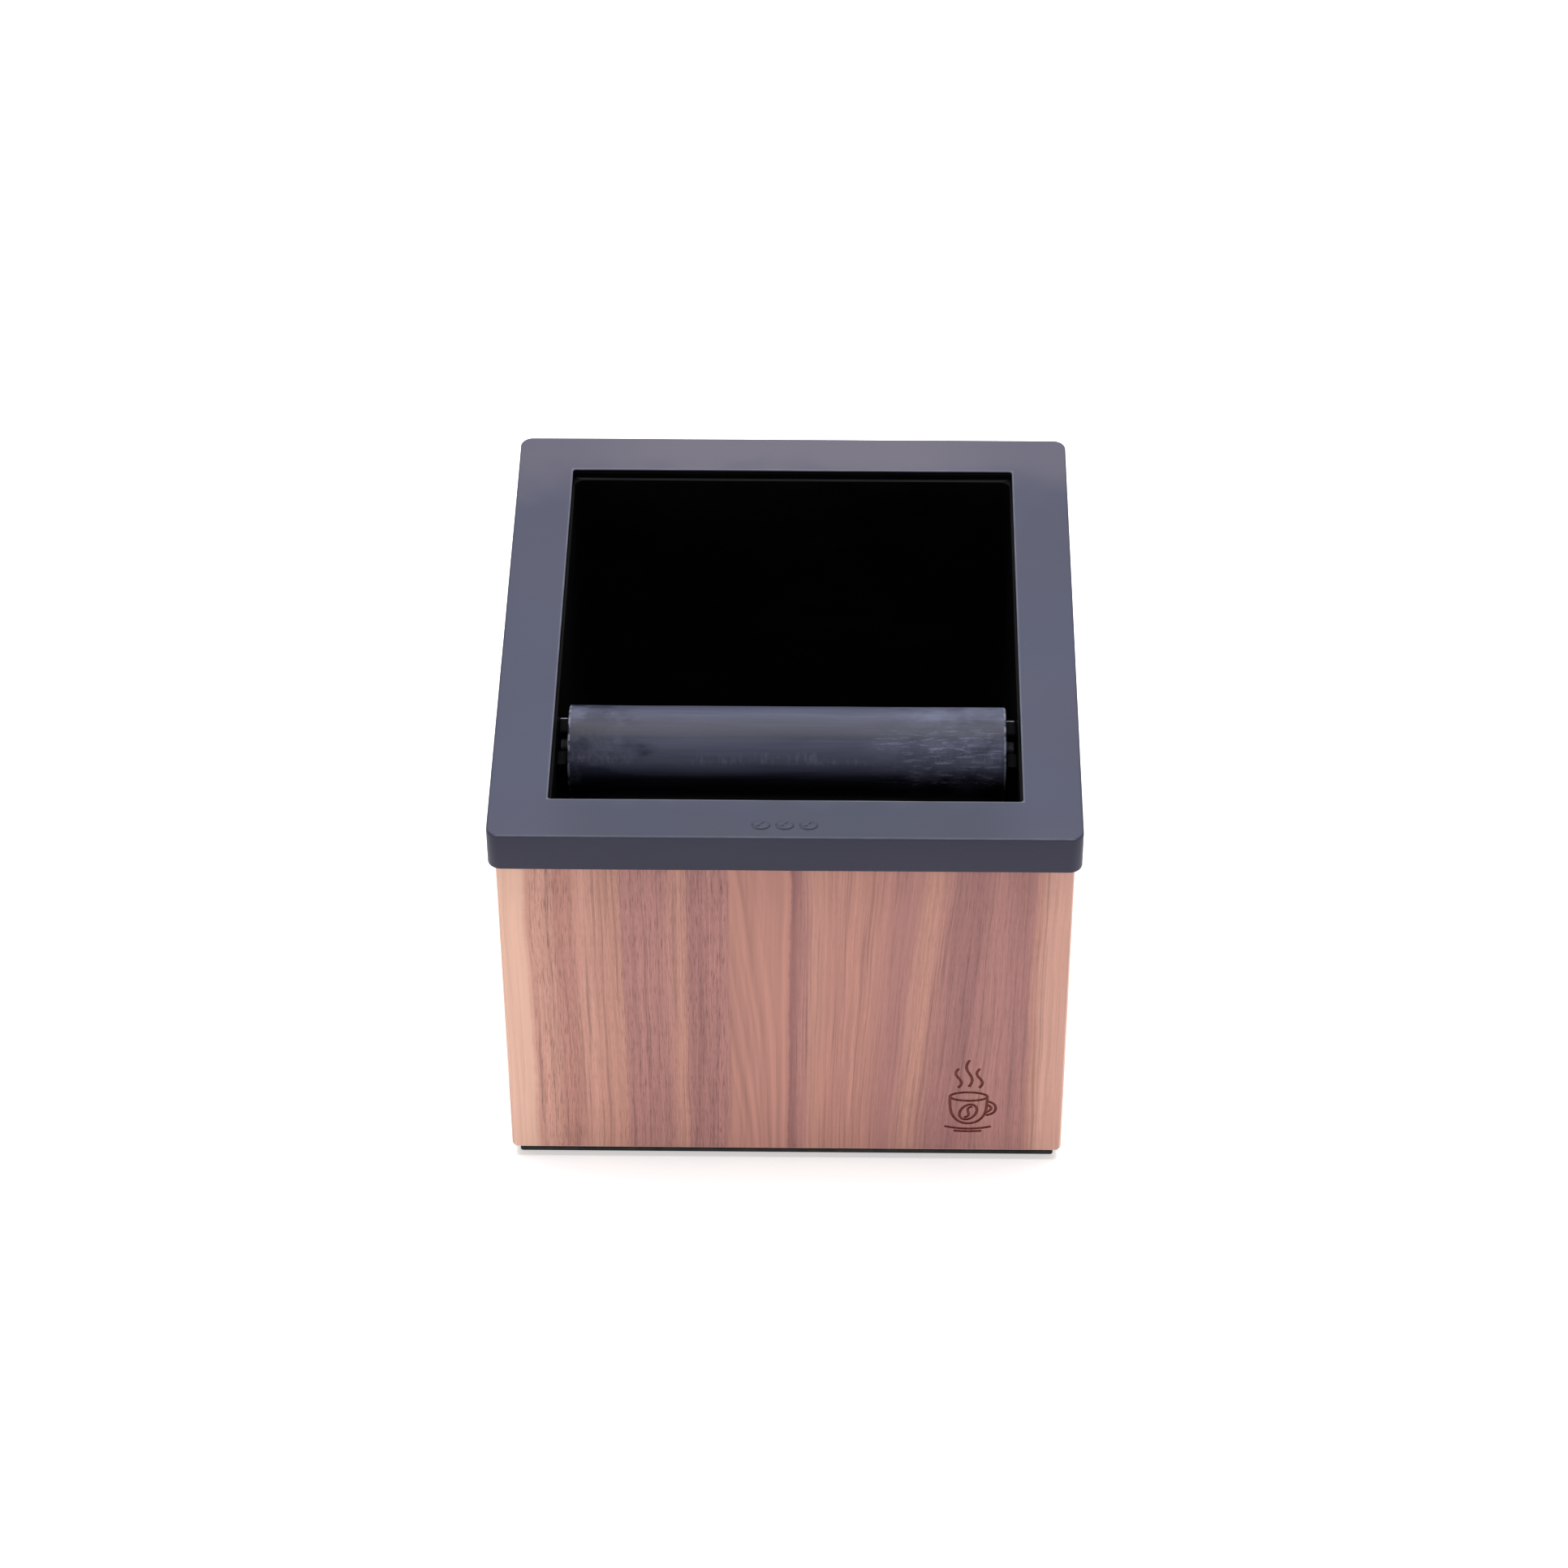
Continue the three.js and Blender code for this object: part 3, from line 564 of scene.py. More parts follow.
def bar_rubber():
    """Black rubber of the knock bar: satin, chalky where portafilters have scuffed it, with painted shade
    on its lower front and a painted highlight round its rims.
    """
    f = Finish("bar_rubber", specular_ior_level=0.12)
    x, y, z = f.axes(f.space())
    back = f.less(y, BAR_CENTRE.y / MM)
    rise = f.less(z, BAR_CENTRE.z / MM)
    turn = f.math("ARCTAN2", rise, f.times(back, -1.0))  # 0 towards the front, a quarter turn on top
    along = f.add(x, f.spread(f.noise((0.06, 0.2, 0.2)), 16.0))
    right_end = f.step(along, 20.0, 48.0)
    left_end = f.drop(along, -60.0, -44.0)

    # Rubbed paler in two bands, one facing the front and one on top
    lean = f.add(turn, f.spread(f.noise((0.03, 0.12, 0.12), offset=(9, 9, 1)), 0.16))
    rubbed_and_shaded = f.ramp(f.math("DIVIDE", lean, math.pi), [
        (math.radians(angle) / math.pi, (share, share, share, 1)) for angle, share in BAR_RUB
    ])
    drag = f.noise((0.035, 0.8, 0.8), offset=(4, 9, 5), detail=3, roughness=0.6)
    blotch = f.noise((0.10, 0.13, 0.13), offset=(1, 4, 7), detail=4, roughness=0.6)
    scrape = f.noise((0.17, 0.95, 0.95), offset=(8, 3, 6), detail=6, roughness=0.72, distortion=0.2)
    chatter = f.noise((0.9, 0.20, 0.20), offset=(6, 2, 2), detail=3, roughness=0.7)
    gaps = f.step(f.noise((0.05, 0.1, 0.1), offset=(2, 7, 3), detail=1), 0.42, 0.56)
    fine = f.noise((3.5, 6, 6))

    # Fine ticks in a belt round the front, and scraped and cloudy patches near the ends
    belt = f.between(turn, (0.40, 0.52), (0.66, 0.78))
    ticks = f.times(f.step(chatter, 0.48, 0.66), belt, gaps)
    lower = f.times(f.step(turn, -0.15, 0.10), f.step(turn, 1.1, 1.5, 1.0, 0.25))
    scuff = f.times(f.step(scrape, 0.50, 0.66), right_end, lower)
    cloud = f.times(f.spread(blotch, 1.1), f.math("MAXIMUM", left_end, f.times(right_end, 0.5)))
    chalk = f.add(rubbed_and_shaded, f.spread(drag, 0.13), f.times(ticks, 0.22), cloud, f.times(scuff, 0.70))
    crown = f.times(f.step(turn, 1.45, 1.60), right_end, 0.12)
    tip = f.times(f.drop(along, -64.0, -56.0), f.step(turn, 0.2, 0.6))
    chalk = f.add(chalk, crown, f.times(f.less(right_end, left_end), 0.05), f.times(tip, 0.02))
    chalk = f.math("MAXIMUM", f.math("MINIMUM", chalk, 1.0), 0.0)
    # Painted shade: the lower front of the bar, under the chalk, is near-black.
    under = f.mix(f.step(turn, 0.05, 0.34), (0.0060, 0.0064, 0.0100, 1), (0.0195, 0.0212, 0.0385, 1))
    color = f.mix(chalk, under, (0.104, 0.109, 0.160, 1))
    color = f.bright(color, f.step(along, -62.0, -40.0, 0.86, 1.0))
    # Darker between those two bands, most of all at the left end
    shoulder = (1.24, 1.38)
    dull = f.times(f.between(turn, (0.98, 1.12), shoulder), 0.18)
    left_dull = f.times(f.between(turn, (0.55, 0.75), shoulder), left_end, 0.24)
    color = f.bright(color, f.less(1.0, f.add(dull, left_dull)))
    # A painted highlight: a pale, broken line round the rims at both ends.
    half_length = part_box("bar_sleeve")[1].x / MM
    from_axis = f.math("SQRT", f.add(f.times(back, back), f.times(rise, rise)))
    at_end = f.step(f.math("ABSOLUTE", x), half_length - 0.9, half_length - 0.5)
    rim = f.times(at_end, f.step(from_axis, 13.5, 13.9))
    highlight_breaks = f.step(f.noise((0.3, 0.5, 0.5)), 0.40, 0.55)
    color = f.mix(f.times(rim, highlight_breaks, 0.45), color, (0.21, 0.215, 0.27, 1))
    rough = f.add(0.36, f.times(chalk, 0.28), f.spread(fine, 0.05))
    relief = f.bump(fine, 0.010, f.bump(f.add(drag, f.times(ticks, 0.3)), 0.03))
    return f.use(base_color=color, roughness=rough, normal=relief)


def foot_rubber():
    """Matt black rubber with a fine ribbed skin."""
    f = Finish("foot_rubber", specular_ior_level=0.3)
    dust_and_sheen = f.noise(0.2, detail=4, roughness=0.6)
    grain = f.noise(4, detail=1)
    x, y, _ = f.axes(f.space())
    rib = f.math("SINE", f.times(f.add(x, y), 4.0))
    color = f.ramp(dust_and_sheen, [(0.35, (0.010, 0.010, 0.011, 1)), (0.75, (0.032, 0.031, 0.031, 1))])
    relief = f.bump(rib, 0.02, f.bump(grain, 0.02))
    return f.use(base_color=color, roughness=f.add(0.72, f.spread(dust_and_sheen, 0.1)), normal=relief)


def powder_coat(name, highlight_edge=None):
    """Black powder coat: a fine pebbled skin, rubbed paler in places. It has a painted highlight along one
    edge if that edge's place is given, as (y, z) in millimetres."""
    f = Finish(name, specular_ior_level=0.025)
    pebble = f.noise(3.2)
    rub = f.step(f.noise(0.22, offset=(5, 1, 8), detail=4, roughness=0.65), 0.52, 0.72)
    color = f.mix(f.times(rub, 0.3), (0.0014, 0.0014, 0.0018, 1), (0.010, 0.010, 0.011, 1))
    if highlight_edge:
        _, y, z = f.axes(f.space())
        from_back, from_top = f.less(y, highlight_edge[0]), f.less(z, highlight_edge[1])
        edge = f.times(f.step(from_back, -0.9, -0.6), f.step(from_top, -0.5, -0.3))
        patchy = f.step(f.noise(0.5, offset=(3, 2, 2)), 0.40, 0.55)
        # Painted highlight: a pale, broken line along the rear top edge.
        color = f.mix(f.times(edge, patchy), color, (0.20, 0.20, 0.23, 1))
    rough = f.add(0.62, f.spread(pebble, 0.10))
    return f.use(base_color=color, roughness=rough, normal=f.bump(pebble, 0.03))


def oxide_steel():
    """Blackened steel of the rod, with fine turning marks, rubbed to a dull grey in places."""
    f = Finish("oxide_steel", metallic=1.0, specular_ior_level=0.2)
    marks = f.noise((9, 0.05, 0.05), detail=3, roughness=0.7)
    rub = f.step(f.noise((0.5, 0.3, 0.3), detail=4, roughness=0.65), 0.48, 0.68)
    color = f.mix(f.times(rub, 0.6), (0.0030, 0.0030, 0.0036, 1), (0.014, 0.014, 0.016, 1))
    rough = f.add(0.42, f.add(f.spread(marks, 0.12), f.times(rub, 0.08)))
    return f.use(base_color=color, roughness=rough, normal=f.bump(marks, 0.006))


def zinc():
    """Bright-plated steel of the small fasteners, a little cloudy."""
    f = Finish("zinc", metallic=1.0)
    cloud = f.noise(0.7, detail=4)
    color = f.ramp(cloud, [(0.3, (0.42, 0.42, 0.44, 1)), (0.7, (0.62, 0.62, 0.63, 1))])
    rough = f.add(0.34, f.spread(cloud, 0.14))
    return f.use(base_color=color, roughness=rough, normal=f.bump(cloud, 0.01))


def nylon():
    """Matt black nylon with turning marks."""
    f = Finish("nylon", specular_ior_level=0.4)
    marks = f.noise((6, 0.3, 0.3))
    mottle = f.noise(0.5, detail=3)
    color = f.ramp(mottle, [(0.3, (0.012, 0.012, 0.013, 1)), (0.7, (0.026, 0.026, 0.028, 1))])
    rough = f.add(0.55, f.spread(marks, 0.1))
    return f.use(base_color=color, roughness=rough, normal=f.bump(marks, 0.01))


# ---------------------------------------------------------------- top frame


def top_frame(material):
    """The soft frame: a rim with a lip round the opening and a skirt, as one closed ring."""
    low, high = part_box("top_frame")
    half_x, half_y = high.x, high.y
    top = high.z - MOTIF_RELIEF
    open_x, open_y = half_x - FRAME_BORDER_X, half_y - FRAME_BORDER_Y
    edge, hem, lip_edge = 0.8 * MM, FRAME_HEM, 0.38 * MM  # how far each edge is rounded

    def outer_loop(inset, z):
        return rounded_loop(half_x - inset, half_y - inset, max(FRAME_CORNER - inset, 0.4 * MM), z)

    def inner_loop(outset, z):
        return rounded_loop(open_x + outset, open_y + outset, OPENING_CORNER + outset, z)

    # Outside: up from the hem to the top edge
    loops = [outer_loop(hem - a, low.z + b) for a, b in arc((0, hem), hem, 270, 360, 4)]
    loops += [outer_loop(edge - a, top - edge + b) for a, b in arc((0, 0), edge, 0, 90, 6)]
    # Top: flat, then the lip's round edge
    near_lip = inner_loop(lip_edge + 0.2 * MM, top)
    for share in (0.25, 0.5, 0.75, 1.0):
        loops.append([a.lerp(b, share) for a, b in zip(outer_loop(edge, top), near_lip)])
    loops += [inner_loop(lip_edge - a, top - lip_edge + b) for a, b in arc((0, 0), lip_edge, 90, 0, 4)]
    # Under the lip, round the room for the bin's collar, and the pocket that grips the case
    under, lip_under = top - FRAME_PLATE, top - LIP
    room, cut, fillet = COLLAR_WALL + GAP, 0.3 * MM, 1.2 * MM
    for a, b in arc((0, 0), lip_edge, 0, -90, 3):
        loops.append(inner_loop(lip_edge - a, lip_under + lip_edge + b))
    loops += [inner_loop(room - cut, lip_under), inner_loop(room, lip_under - cut)]
    loops += [inner_loop(room, under + cut), inner_loop(room + cut, under)]
    bend = SKIRT_WALL + fillet
    loops += [outer_loop(bend - a, under - fillet + b) for a, b in arc((0, 0), fillet, 90, 0, 4)]
    loops += [outer_loop(SKIRT_WALL - hem + a, low.z + b) for a, b in arc((hem, hem), hem, 180, 270, 4)]
    bm = loft(loops, closed=True)
    soften(bm, 0.08 * MM, 28 * MM, 3, low, Vector((high.x, high.y, top)))
    return add_piece("frame_cap", bm, [material], "frame", ["top_frame"])


def frame_beans(material):
    """A generic row of raised coffee beans on the front border."""
    low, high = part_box("top_frame")
    top = high.z - MOTIF_RELIEF
    rings, steps, sink = 10, 48, 0.5 * MM
    for place in (-1, 0, 1):
        centre = Vector((place * BEAN_SPACING, low.y + BEAN_FROM_FRONT, top))
        loops = []
        for ring in range(rings, 0, -1):
            share = ring / rings
            loop = []
            for i in range(steps):
                angle = 2 * math.pi * i / steps
                x = share * BEAN_SIZE[0] / 2 * math.cos(angle)
                y = share * BEAN_SIZE[1] / 2 * math.sin(angle)
                seam = y - 0.25 * BEAN_SIZE[1] * math.sin(2 * math.pi * x / BEAN_SIZE[0])
                groove = math.exp(-((seam / (0.30 * MM)) ** 2))
                dome = MOTIF_RELIEF * math.sqrt(max(1 - share**4, 0.0))
                loop.append(centre + Vector((x, y, dome * (1 - 0.75 * groove))))
            loops.append(loop)
        base = [Vector((point.x, point.y, top - sink)) for point in loops[0]]
        name = f"frame_bean_{place + 2}"
        add_piece(name, loft([base] + loops), [material], "frame", sharp=60)


# ---------------------------------------------------------------- walnut case


def wall_board(half_length, top, bottom, floor_top):
    """A mitred board lying along X with its outside at y = 0, facing -Y."""
    round_off, ease, sharp_end = BOTTOM_CHAMFER, 0.4 * MM, 0.3 * MM
    rebate = CASE_WALL - REBATE
    profile = [(round_off - a, bottom + b) for a, b in arc((0, round_off), round_off, 270, 360, 4)]
    profile += [(ease - a, top - ease + b) for a, b in arc((0, 0), ease, 0, 90, 3)]
    profile += [(CASE_WALL, top), (CASE_WALL, floor_top), (rebate, floor_top), (rebate, bottom)]
    straight = [-1 + 2 * i / 24 for i in range(25)]
    turn = [90 - 45 * i / 6 for i in range(1, 7)]

    def row(inset, z):
        """One edge of the profile from the left mitre to the right one."""
        end = half_length - inset
        radius = max(CASE_CORNER - inset, sharp_end)
        points = [Vector((s * (end - radius), inset, z)) for s in straight]
        bend = []
        for angle in turn:
            a = math.radians(angle)
            x, y = end - radius + radius * math.cos(a), inset
            if inset < CASE_CORNER:
                y = inset + radius - radius * math.sin(a)
            else:
                x = end - radius + radius * (90 - angle) / 45
            bend.append(Vector((min(x, half_length - y - MITRE_GAP), y, z)))
        left = [Vector((-p.x, p.y, p.z)) for p in reversed(bend)]
        return left + points + bend

    rows = [row(inset, z) for inset, z in profile]
    stations = [list(station) for station in zip(*rows)]
    return loft(stations)


def emblem_strokes():
    """A generic emblem: a cup on a saucer, a coffee bean on the cup and steam over it.

    Each stroke is (points, closed). Its points are worked out in millimetres, from the middle of the
    emblem's foot, by curves of a share t that goes from 0 to 1.
    """
    strokes = []

    def curve(function, steps, closed=False):
        count = steps if closed else steps + 1
        points = [function(i / steps) for i in range(count)]
        strokes.append(([Vector(p) * MM for p in points], closed))

    def wave(t):
        return math.sin(2 * math.pi * t)

    # The saucer's rim and foot
    curve(lambda t: (-7.4 + 14.8 * t, 0.6 + 1.1 * (2 * t - 1) ** 2), 24)
    curve(lambda t: (-4.4 + 8.8 * t, -0.6 + 0.25 * (2 * t - 1) ** 2), 12)

    # The cup: its bowl, its rim, and the outside and inside of its handle
    def bowl(t):
        angle = math.pi * (1 + t)
        return (5.9 * math.cos(angle), 14.6 + 11.6 * math.sin(angle) * abs(math.sin(angle)) ** -0.35)

    curve(bowl, 40)
    curve(lambda t: (5.9 * math.cos(2 * math.pi * t), 15.2 + 1.9 * wave(t)), 44, True)
    curve(lambda t: (5.6 + 3.1 * math.sin(math.pi * t), 13.2 - 6.4 * t + 0.6 * wave(t)), 20)
    curve(lambda t: (5.6 + 1.7 * math.sin(math.pi * t), 11.9 - 3.9 * t), 12)

    # The bean, tilted, with its seam
    tilt = math.radians(-26)

    def on_bean(x, y):
        return (x * math.cos(tilt) - y * math.sin(tilt), 8.2 + x * math.sin(tilt) + y * math.cos(tilt))

    curve(lambda t: on_bean(2.5 * math.cos(2 * math.pi * t), 3.6 * wave(t)), 36, True)
    curve(lambda t: on_bean(0.75 * wave(t), 5.6 * (t - 0.5)), 16)

    # The steam: three wisps, the middle one taller
    for place, foot, height in ((-3.3, 19.2, 8.6), (0, 19.6, 12.0), (3.3, 19.2, 8.6)):
        curve(lambda t: (place + 0.95 * wave(t), foot + height * t), 22)
    return strokes


def groove_cutter(stroke, foot, face_y):
    """A solid ribbon along a stroke, standing through the face at y = face_y. foot is (x, z)."""
    points, closed = stroke
    half = [(1.25, -0.5 * MM), (1.0, 0.0), (0.55, GROOVE_DEPTH)]
    section = half + [(-spread, y) for spread, y in reversed(half)]
    count = len(points)
    loops = []
    for i, point in enumerate(points):
        before = points[i - 1] if closed or i else point
        after = points[(i + 1) % count] if closed or i < count - 1 else point
        tangent = (after - before).normalized()
        side = Vector((-tangent.y, tangent.x)) * GROOVE_WIDTH / 2
        places = [(Vector(foot) + point + side * spread, y) for spread, y in section]
        loops.append([Vector((at.x, face_y + y, at.y)) for at, y in places])
    return loft(loops, closed=closed)


def case_walls(groove_material):
    low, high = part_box("case_front")
    half_x, half_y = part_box("case_right")[1].x, -low.y
    floor_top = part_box("case_floor")[1].z
    walls = (
        ("front", 0, half_x, half_y, "X"),
        ("right", 90, half_y, half_x, "Y"),
        ("back", 180, half_x, half_y, "X"),
        ("left", 270, half_y, half_x, "Y"),
    )
    for seed, (side, turn, half_length, out, across) in enumerate(walls):
        bands, pores, arches = FRONT_BANDS, FRONT_PORES, 0.38
        if side != "front":
            bands, pores = board_bands(seed + 20, half_length / MM)
            arches = 0.0
        material = walnut(f"walnut_{side}", across, bands, pores, 17.0 * seed, arches)
        bm = wall_board(half_length, high.z, low.z, floor_top)
        place = Matrix.Rotation(math.radians(turn), 4, "Z") @ Matrix.Translation((0, -out, 0))
        bmesh.ops.transform(bm, matrix=place, verts=bm.verts)
        board = add_piece(f"case_board_{side}", bm, [material], "case", [f"case_{side}"])
        if side == "front":
            foot = (EMBLEM_PLACE[0], low.z + EMBLEM_PLACE[1])
            for stroke in emblem_strokes():
                carve(board, groove_cutter(stroke, foot, low.y), groove_material)


# ---------------------------------------------------------------- base


def base_sheet(name, node, material, edge, hole_radius):
    """The base plate or the mat: a sheet with rounded edges and a hole round each screw."""
    low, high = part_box(node)
    insets = [(edge - a, low.z + b) for a, b in arc((0, edge), edge, 270, 360, 3)]
    insets += [(edge - a, high.z - edge + b) for a, b in arc((0, 0), edge, 0, 90, 3)]
    loops = []
    for inset, z in insets:
        loops.append(rounded_loop(high.x - inset, high.y - inset, BASE_CORNER - inset, z, 6, 4))
    piece = add_piece(name, loft(loops), [material], "case", [node])
    holes = bmesh.new()
    for corner in CORNERS:
        at = middle_of(f"base_screw_{corner}")
        at.z = (low.z + high.z) / 2
        bmesh.ops.create_cone(
            holes, cap_ends=True, segments=40, radius1=hole_radius, radius2=hole_radius,
            depth=(high.z - low.z) * 3, matrix=Matrix.Translation(at),
        )
    carve(piece, holes)


def base_screws(steel):
    """Pan-head screws, head down, with a thread and a cross slot."""
    blade = Matrix.Diagonal((3.8 * MM, 0.7 * MM, 1.5 * MM, 1))
    for corner in CORNERS:
        node = f"base_screw_{corner}"
        low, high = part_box(node)
        radius, root = (high.x - low.x) / 2, SCREW_RADIUS * 0.78
        profile = domed(radius, SCREW_HEAD, (78, 60, 42, 24, 8))
        profile += [(radius, SCREW_HEAD), (SCREW_RADIUS * 0.85, SCREW_HEAD)]
        for i in range(SCREW_TURNS):
            z = SCREW_HEAD + 0.6 * MM + i * SCREW_PITCH
            profile += [(root, z), (SCREW_RADIUS, z + 0.45 * SCREW_PITCH), (root, z + 0.9 * SCREW_PITCH)]
        profile += [(0.2 * MM, high.z - low.z)]
        bm = stand_on(turned(profile, 40), node)
        piece = add_piece(f"{node}_turned", bm, [steel], "case", [node])
        foot = Matrix.Translation((*middle_of(node).xy, low.z))
        for turn in (0, 90):
            slot = bmesh.new()
            matrix = foot @ Matrix.Rotation(math.radians(turn), 4, "Z") @ blade
            bmesh.ops.create_cube(slot, size=1, matrix=matrix)
            carve(piece, slot)


def bin_pads(rubber):
    """Round soft pads with a dished top, on the case's floor."""
    edge = 0.9 * MM
    for corner in CORNERS:
        node = f"bin_pad_{corner}"
        low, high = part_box(node)
        radius, height = (high.x - low.x) / 2, high.z - low.z
        profile = [(radius - 0.2 * MM, 0), (radius, 0.2 * MM)]
        profile += [(radius - edge + a, height - edge + b) for a, b in arc((0, 0), edge, 0, 90, 5)]
        profile += [(radius * 0.45, height), (radius * 0.36, height - 0.5 * MM)]
        profile += [(0.3 * MM, height - 0.6 * MM)]
        bm = stand_on(turned(profile, 48), node)
        add_piece(f"soft_pad_{corner}", bm, [rubber], "case", [node])


# ---------------------------------------------------------------- grounds bin


def grounds_bin(material):
    """The black liner as one closed skin: up its outside, over flange and collar, down its inside."""
    low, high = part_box("grounds_bin")
    frame_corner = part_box("top_frame")[1]
    open_x, open_y = frame_corner.x - FRAME_BORDER_X, frame_corner.y - FRAME_BORDER_Y
    in_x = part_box("bar_cradle_right")[1].x + CRADLE_PLAY
    in_y = in_x + open_y - open_x
    flange_top = high.z - COLLAR_RISE
    flange_under = flange_top - FLANGE

    def level(half_x, half_y, radius, z):
        return rounded_loop(half_x, half_y, radius, z, *BIN_STEPS)

    def wall(z, grow):
        """A loop of the bin's inside, grown outwards, at a height: straight above the shoulder."""
        draw = BIN_TAPER * max(BIN_SHOULDER - z, 0) / (BIN_SHOULDER - low.z)
        return level(in_x + grow - draw, in_y + grow - draw, BIN_CORNER + max(grow, -1.5 * MM), z)

    def flange(edge, z, start):
        """A round edge of the flange, about the height z."""
        x, y, corner = high.x - edge, high.y - edge, BIN_CORNER - edge
        turns = arc((0, 0), edge, start, start + 90, 4)
        return [level(x + a, y + a, corner + a, z + b) for a, b in turns]

    def collar(z, grow):
        return level(open_x + grow, open_y + grow, OPENING_CORNER + grow, z)

    # Outside, from the bottom up to the flange
    loops = []
    for share in (0.15, 0.5, 0.85):
        loops.append(level(in_x * share, in_y * share, 6 * MM * share, low.z + 0.4 * MM))
    heel, neck = 2.2 * MM, 0.8 * MM
    loops += [wall(low.z + b, BIN_WALL - heel + a) for a, b in arc((0, heel), heel, 270, 360, 5)]
    loops += [wall(BIN_SHOULDER + rise * MM, BIN_WALL) for rise in (-2, 0, 1)]
    for a, b in arc((0, 0), neck, 0, 90, 4):
        loops.append(wall(flange_under - neck + b, BIN_WALL + neck - a))
    edge = 0.6 * MM
    loops += flange(edge, flange_under + edge, 270) + flange(edge, flange_top - edge, 0)
    # The collar that lines the frame's opening, with a slanting ledge inside it
    soft, ledge = 0.4 * MM, 0.38 * MM
    loops += [collar(flange_top, COLLAR_WALL + soft), collar(flange_top + soft, COLLAR_WALL)]
    loops += [collar(high.z - soft + b, COLLAR_WALL - soft + a) for a, b in arc((0, 0), soft, 0, 90, 3)]
    loops += [collar(high.z - soft + b, soft - a) for a, b in arc((0, 0), soft, 90, 0, 3)]
    loops += [collar(flange_top + ledge, 0)]
    # Down the inside, and round the cove to the floor
    rim, cove = 0.25 * MM, 8 * MM
    loops += [wall(flange_top - rim + b, rim - a) for a, b in arc((0, 0), rim, 90, 0, 3)]
    loops += [wall(z * MM, 0) for z in (125, 105, 90)]
    loops += [wall(BIN_SHOULDER + rise * MM, 0) for rise in (1.5, 0, -3)]
    loops += [wall(z * MM, 0) for z in (60, 40)]
    floor_z = low.z + BIN_BASE
    loops += [wall(floor_z + b, a - cove) for a, b in arc((0, cove), cove, 0, -90, 8)]
    for share in (0.7, 0.4, 0.1):
        rise = 0.3 * MM * (1 - share)
        loops.append(level(in_x * share, in_y * share, 6 * MM * share, floor_z + rise))
    add_piece("bin_liner", loft(loops), [material], "bin", ["grounds_bin"])


def cradle_plate(side, coat):
    """An upright plate with a round notch, open at the top, for the rod's end."""
    low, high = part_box(f"bar_cradle_{side}")
    y, z = BAR_CENTRE.y, BAR_CENTRE.z
    mouth, foot, ear = 1.0 * MM, 2.5 * MM, 0.6 * MM
    outline = arc((y - NOTCH_RADIUS - mouth, high.z - mouth), mouth, 90, 0, 5)
    outline += arc((y, z), NOTCH_RADIUS, 180, 360, 24)
    outline += arc((y + NOTCH_RADIUS + mouth, high.z - mouth), mouth, 180, 90, 5)
    outline += arc((high.y - ear, high.z - ear), ear, 90, 0, 4)
    outline += arc((high.y - foot, low.z + foot), foot, 0, -90, 8)
    outline += arc((low.y + foot, low.z + foot), foot, -90, -180, 8)
    outline += arc((low.y + ear, high.z - ear), ear, 180, 90, 4)
    bm = loft([[Vector((x, *point)) for point in outline] for x in (low.x, high.x)])
    bmesh.ops.recalc_face_normals(bm, faces=bm.faces)
    round_edges(bm, 0.35 * MM, 50)
    add_piece(f"cradle_plate_{side}", bm, [coat], "bin", [f"bar_cradle_{side}"])


def cradle_rivet(side, place, steel):
    """A rivet along X: a round head on the cradle and a rolled tail outside the bin."""
    node = f"cradle_rivet_{side}_{place}"
    low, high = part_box(node)
    length, radius = high.x - low.x, (high.y - low.y) / 2
    tail = length - RIVET_HEAD
    profile = domed(radius, RIVET_HEAD, (84, 70, 55, 40, 25, 10))
    profile += [(radius, RIVET_HEAD), (RIVET_RADIUS, RIVET_HEAD), (RIVET_RADIUS, tail)]
    profile += [(radius * 0.72, tail), (radius * 0.8, tail + 0.25 * MM)]
    profile += [(radius * 0.74, length - 0.2 * MM), (radius * 0.5, length)]
    profile += [(radius * 0.3, length - 0.3 * MM)]
    start = middle_of(node)
    start.x, turn = (high.x, -QUARTER) if side == "left" else (low.x, QUARTER)
    matrix = Matrix.Translation(start) @ Matrix.Rotation(turn, 4, "Y")
    bm = turned(profile, 40)
    bmesh.ops.transform(bm, matrix=matrix, verts=bm.verts)
    add_piece(f"dome_rivet_{side}_{place}", bm, [steel], "bin", [node])


# ---------------------------------------------------------------- knock bar


def place_on_bar(bm, x=0):
    """Lays a piece made round Z along the bar's axis, its middle at x."""
    place = Matrix.Translation((x, BAR_CENTRE.y, BAR_CENTRE.z))
    bmesh.ops.transform(bm, matrix=place @ ALONG_X, verts=bm.verts)
    return bm


def half_sizes(node):
    """Half the length and the radius of a piece that lies along the bar."""
    low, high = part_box(node)
    return (high.x - low.x) / 2, (high.z - low.z) / 2


def both_ends(end, between=()):
    """A profile made of one end's [radius, height] points, some points between, and the other end."""
    return [*end, *between, *((r, -h) for r, h in reversed(end))]


def bar_rod(steel):
    """The rod: centre-drilled, chamfered ends, and a slightly thinner waist that starts near each."""
    half, radius = half_sizes("bar_rod")
    chamfer, waist, cut = 0.6 * MM, half - 6 * MM, radius - 0.12 * MM
    end = [(0.25 * MM, half - 1.6 * MM), (1.1 * MM, half - 0.15 * MM), (1.2 * MM, half)]
    end += [(radius - chamfer, half), (radius, half - chamfer)]
    end += [(radius, waist), (cut, waist - 0.3 * MM), (cut, waist - 0.9 * MM)]
    bm = place_on_bar(turned(both_ends(end, [(radius, 0)]), 64))
    add_piece("turned_rod", bm, [steel], "bar", ["bar_rod"])


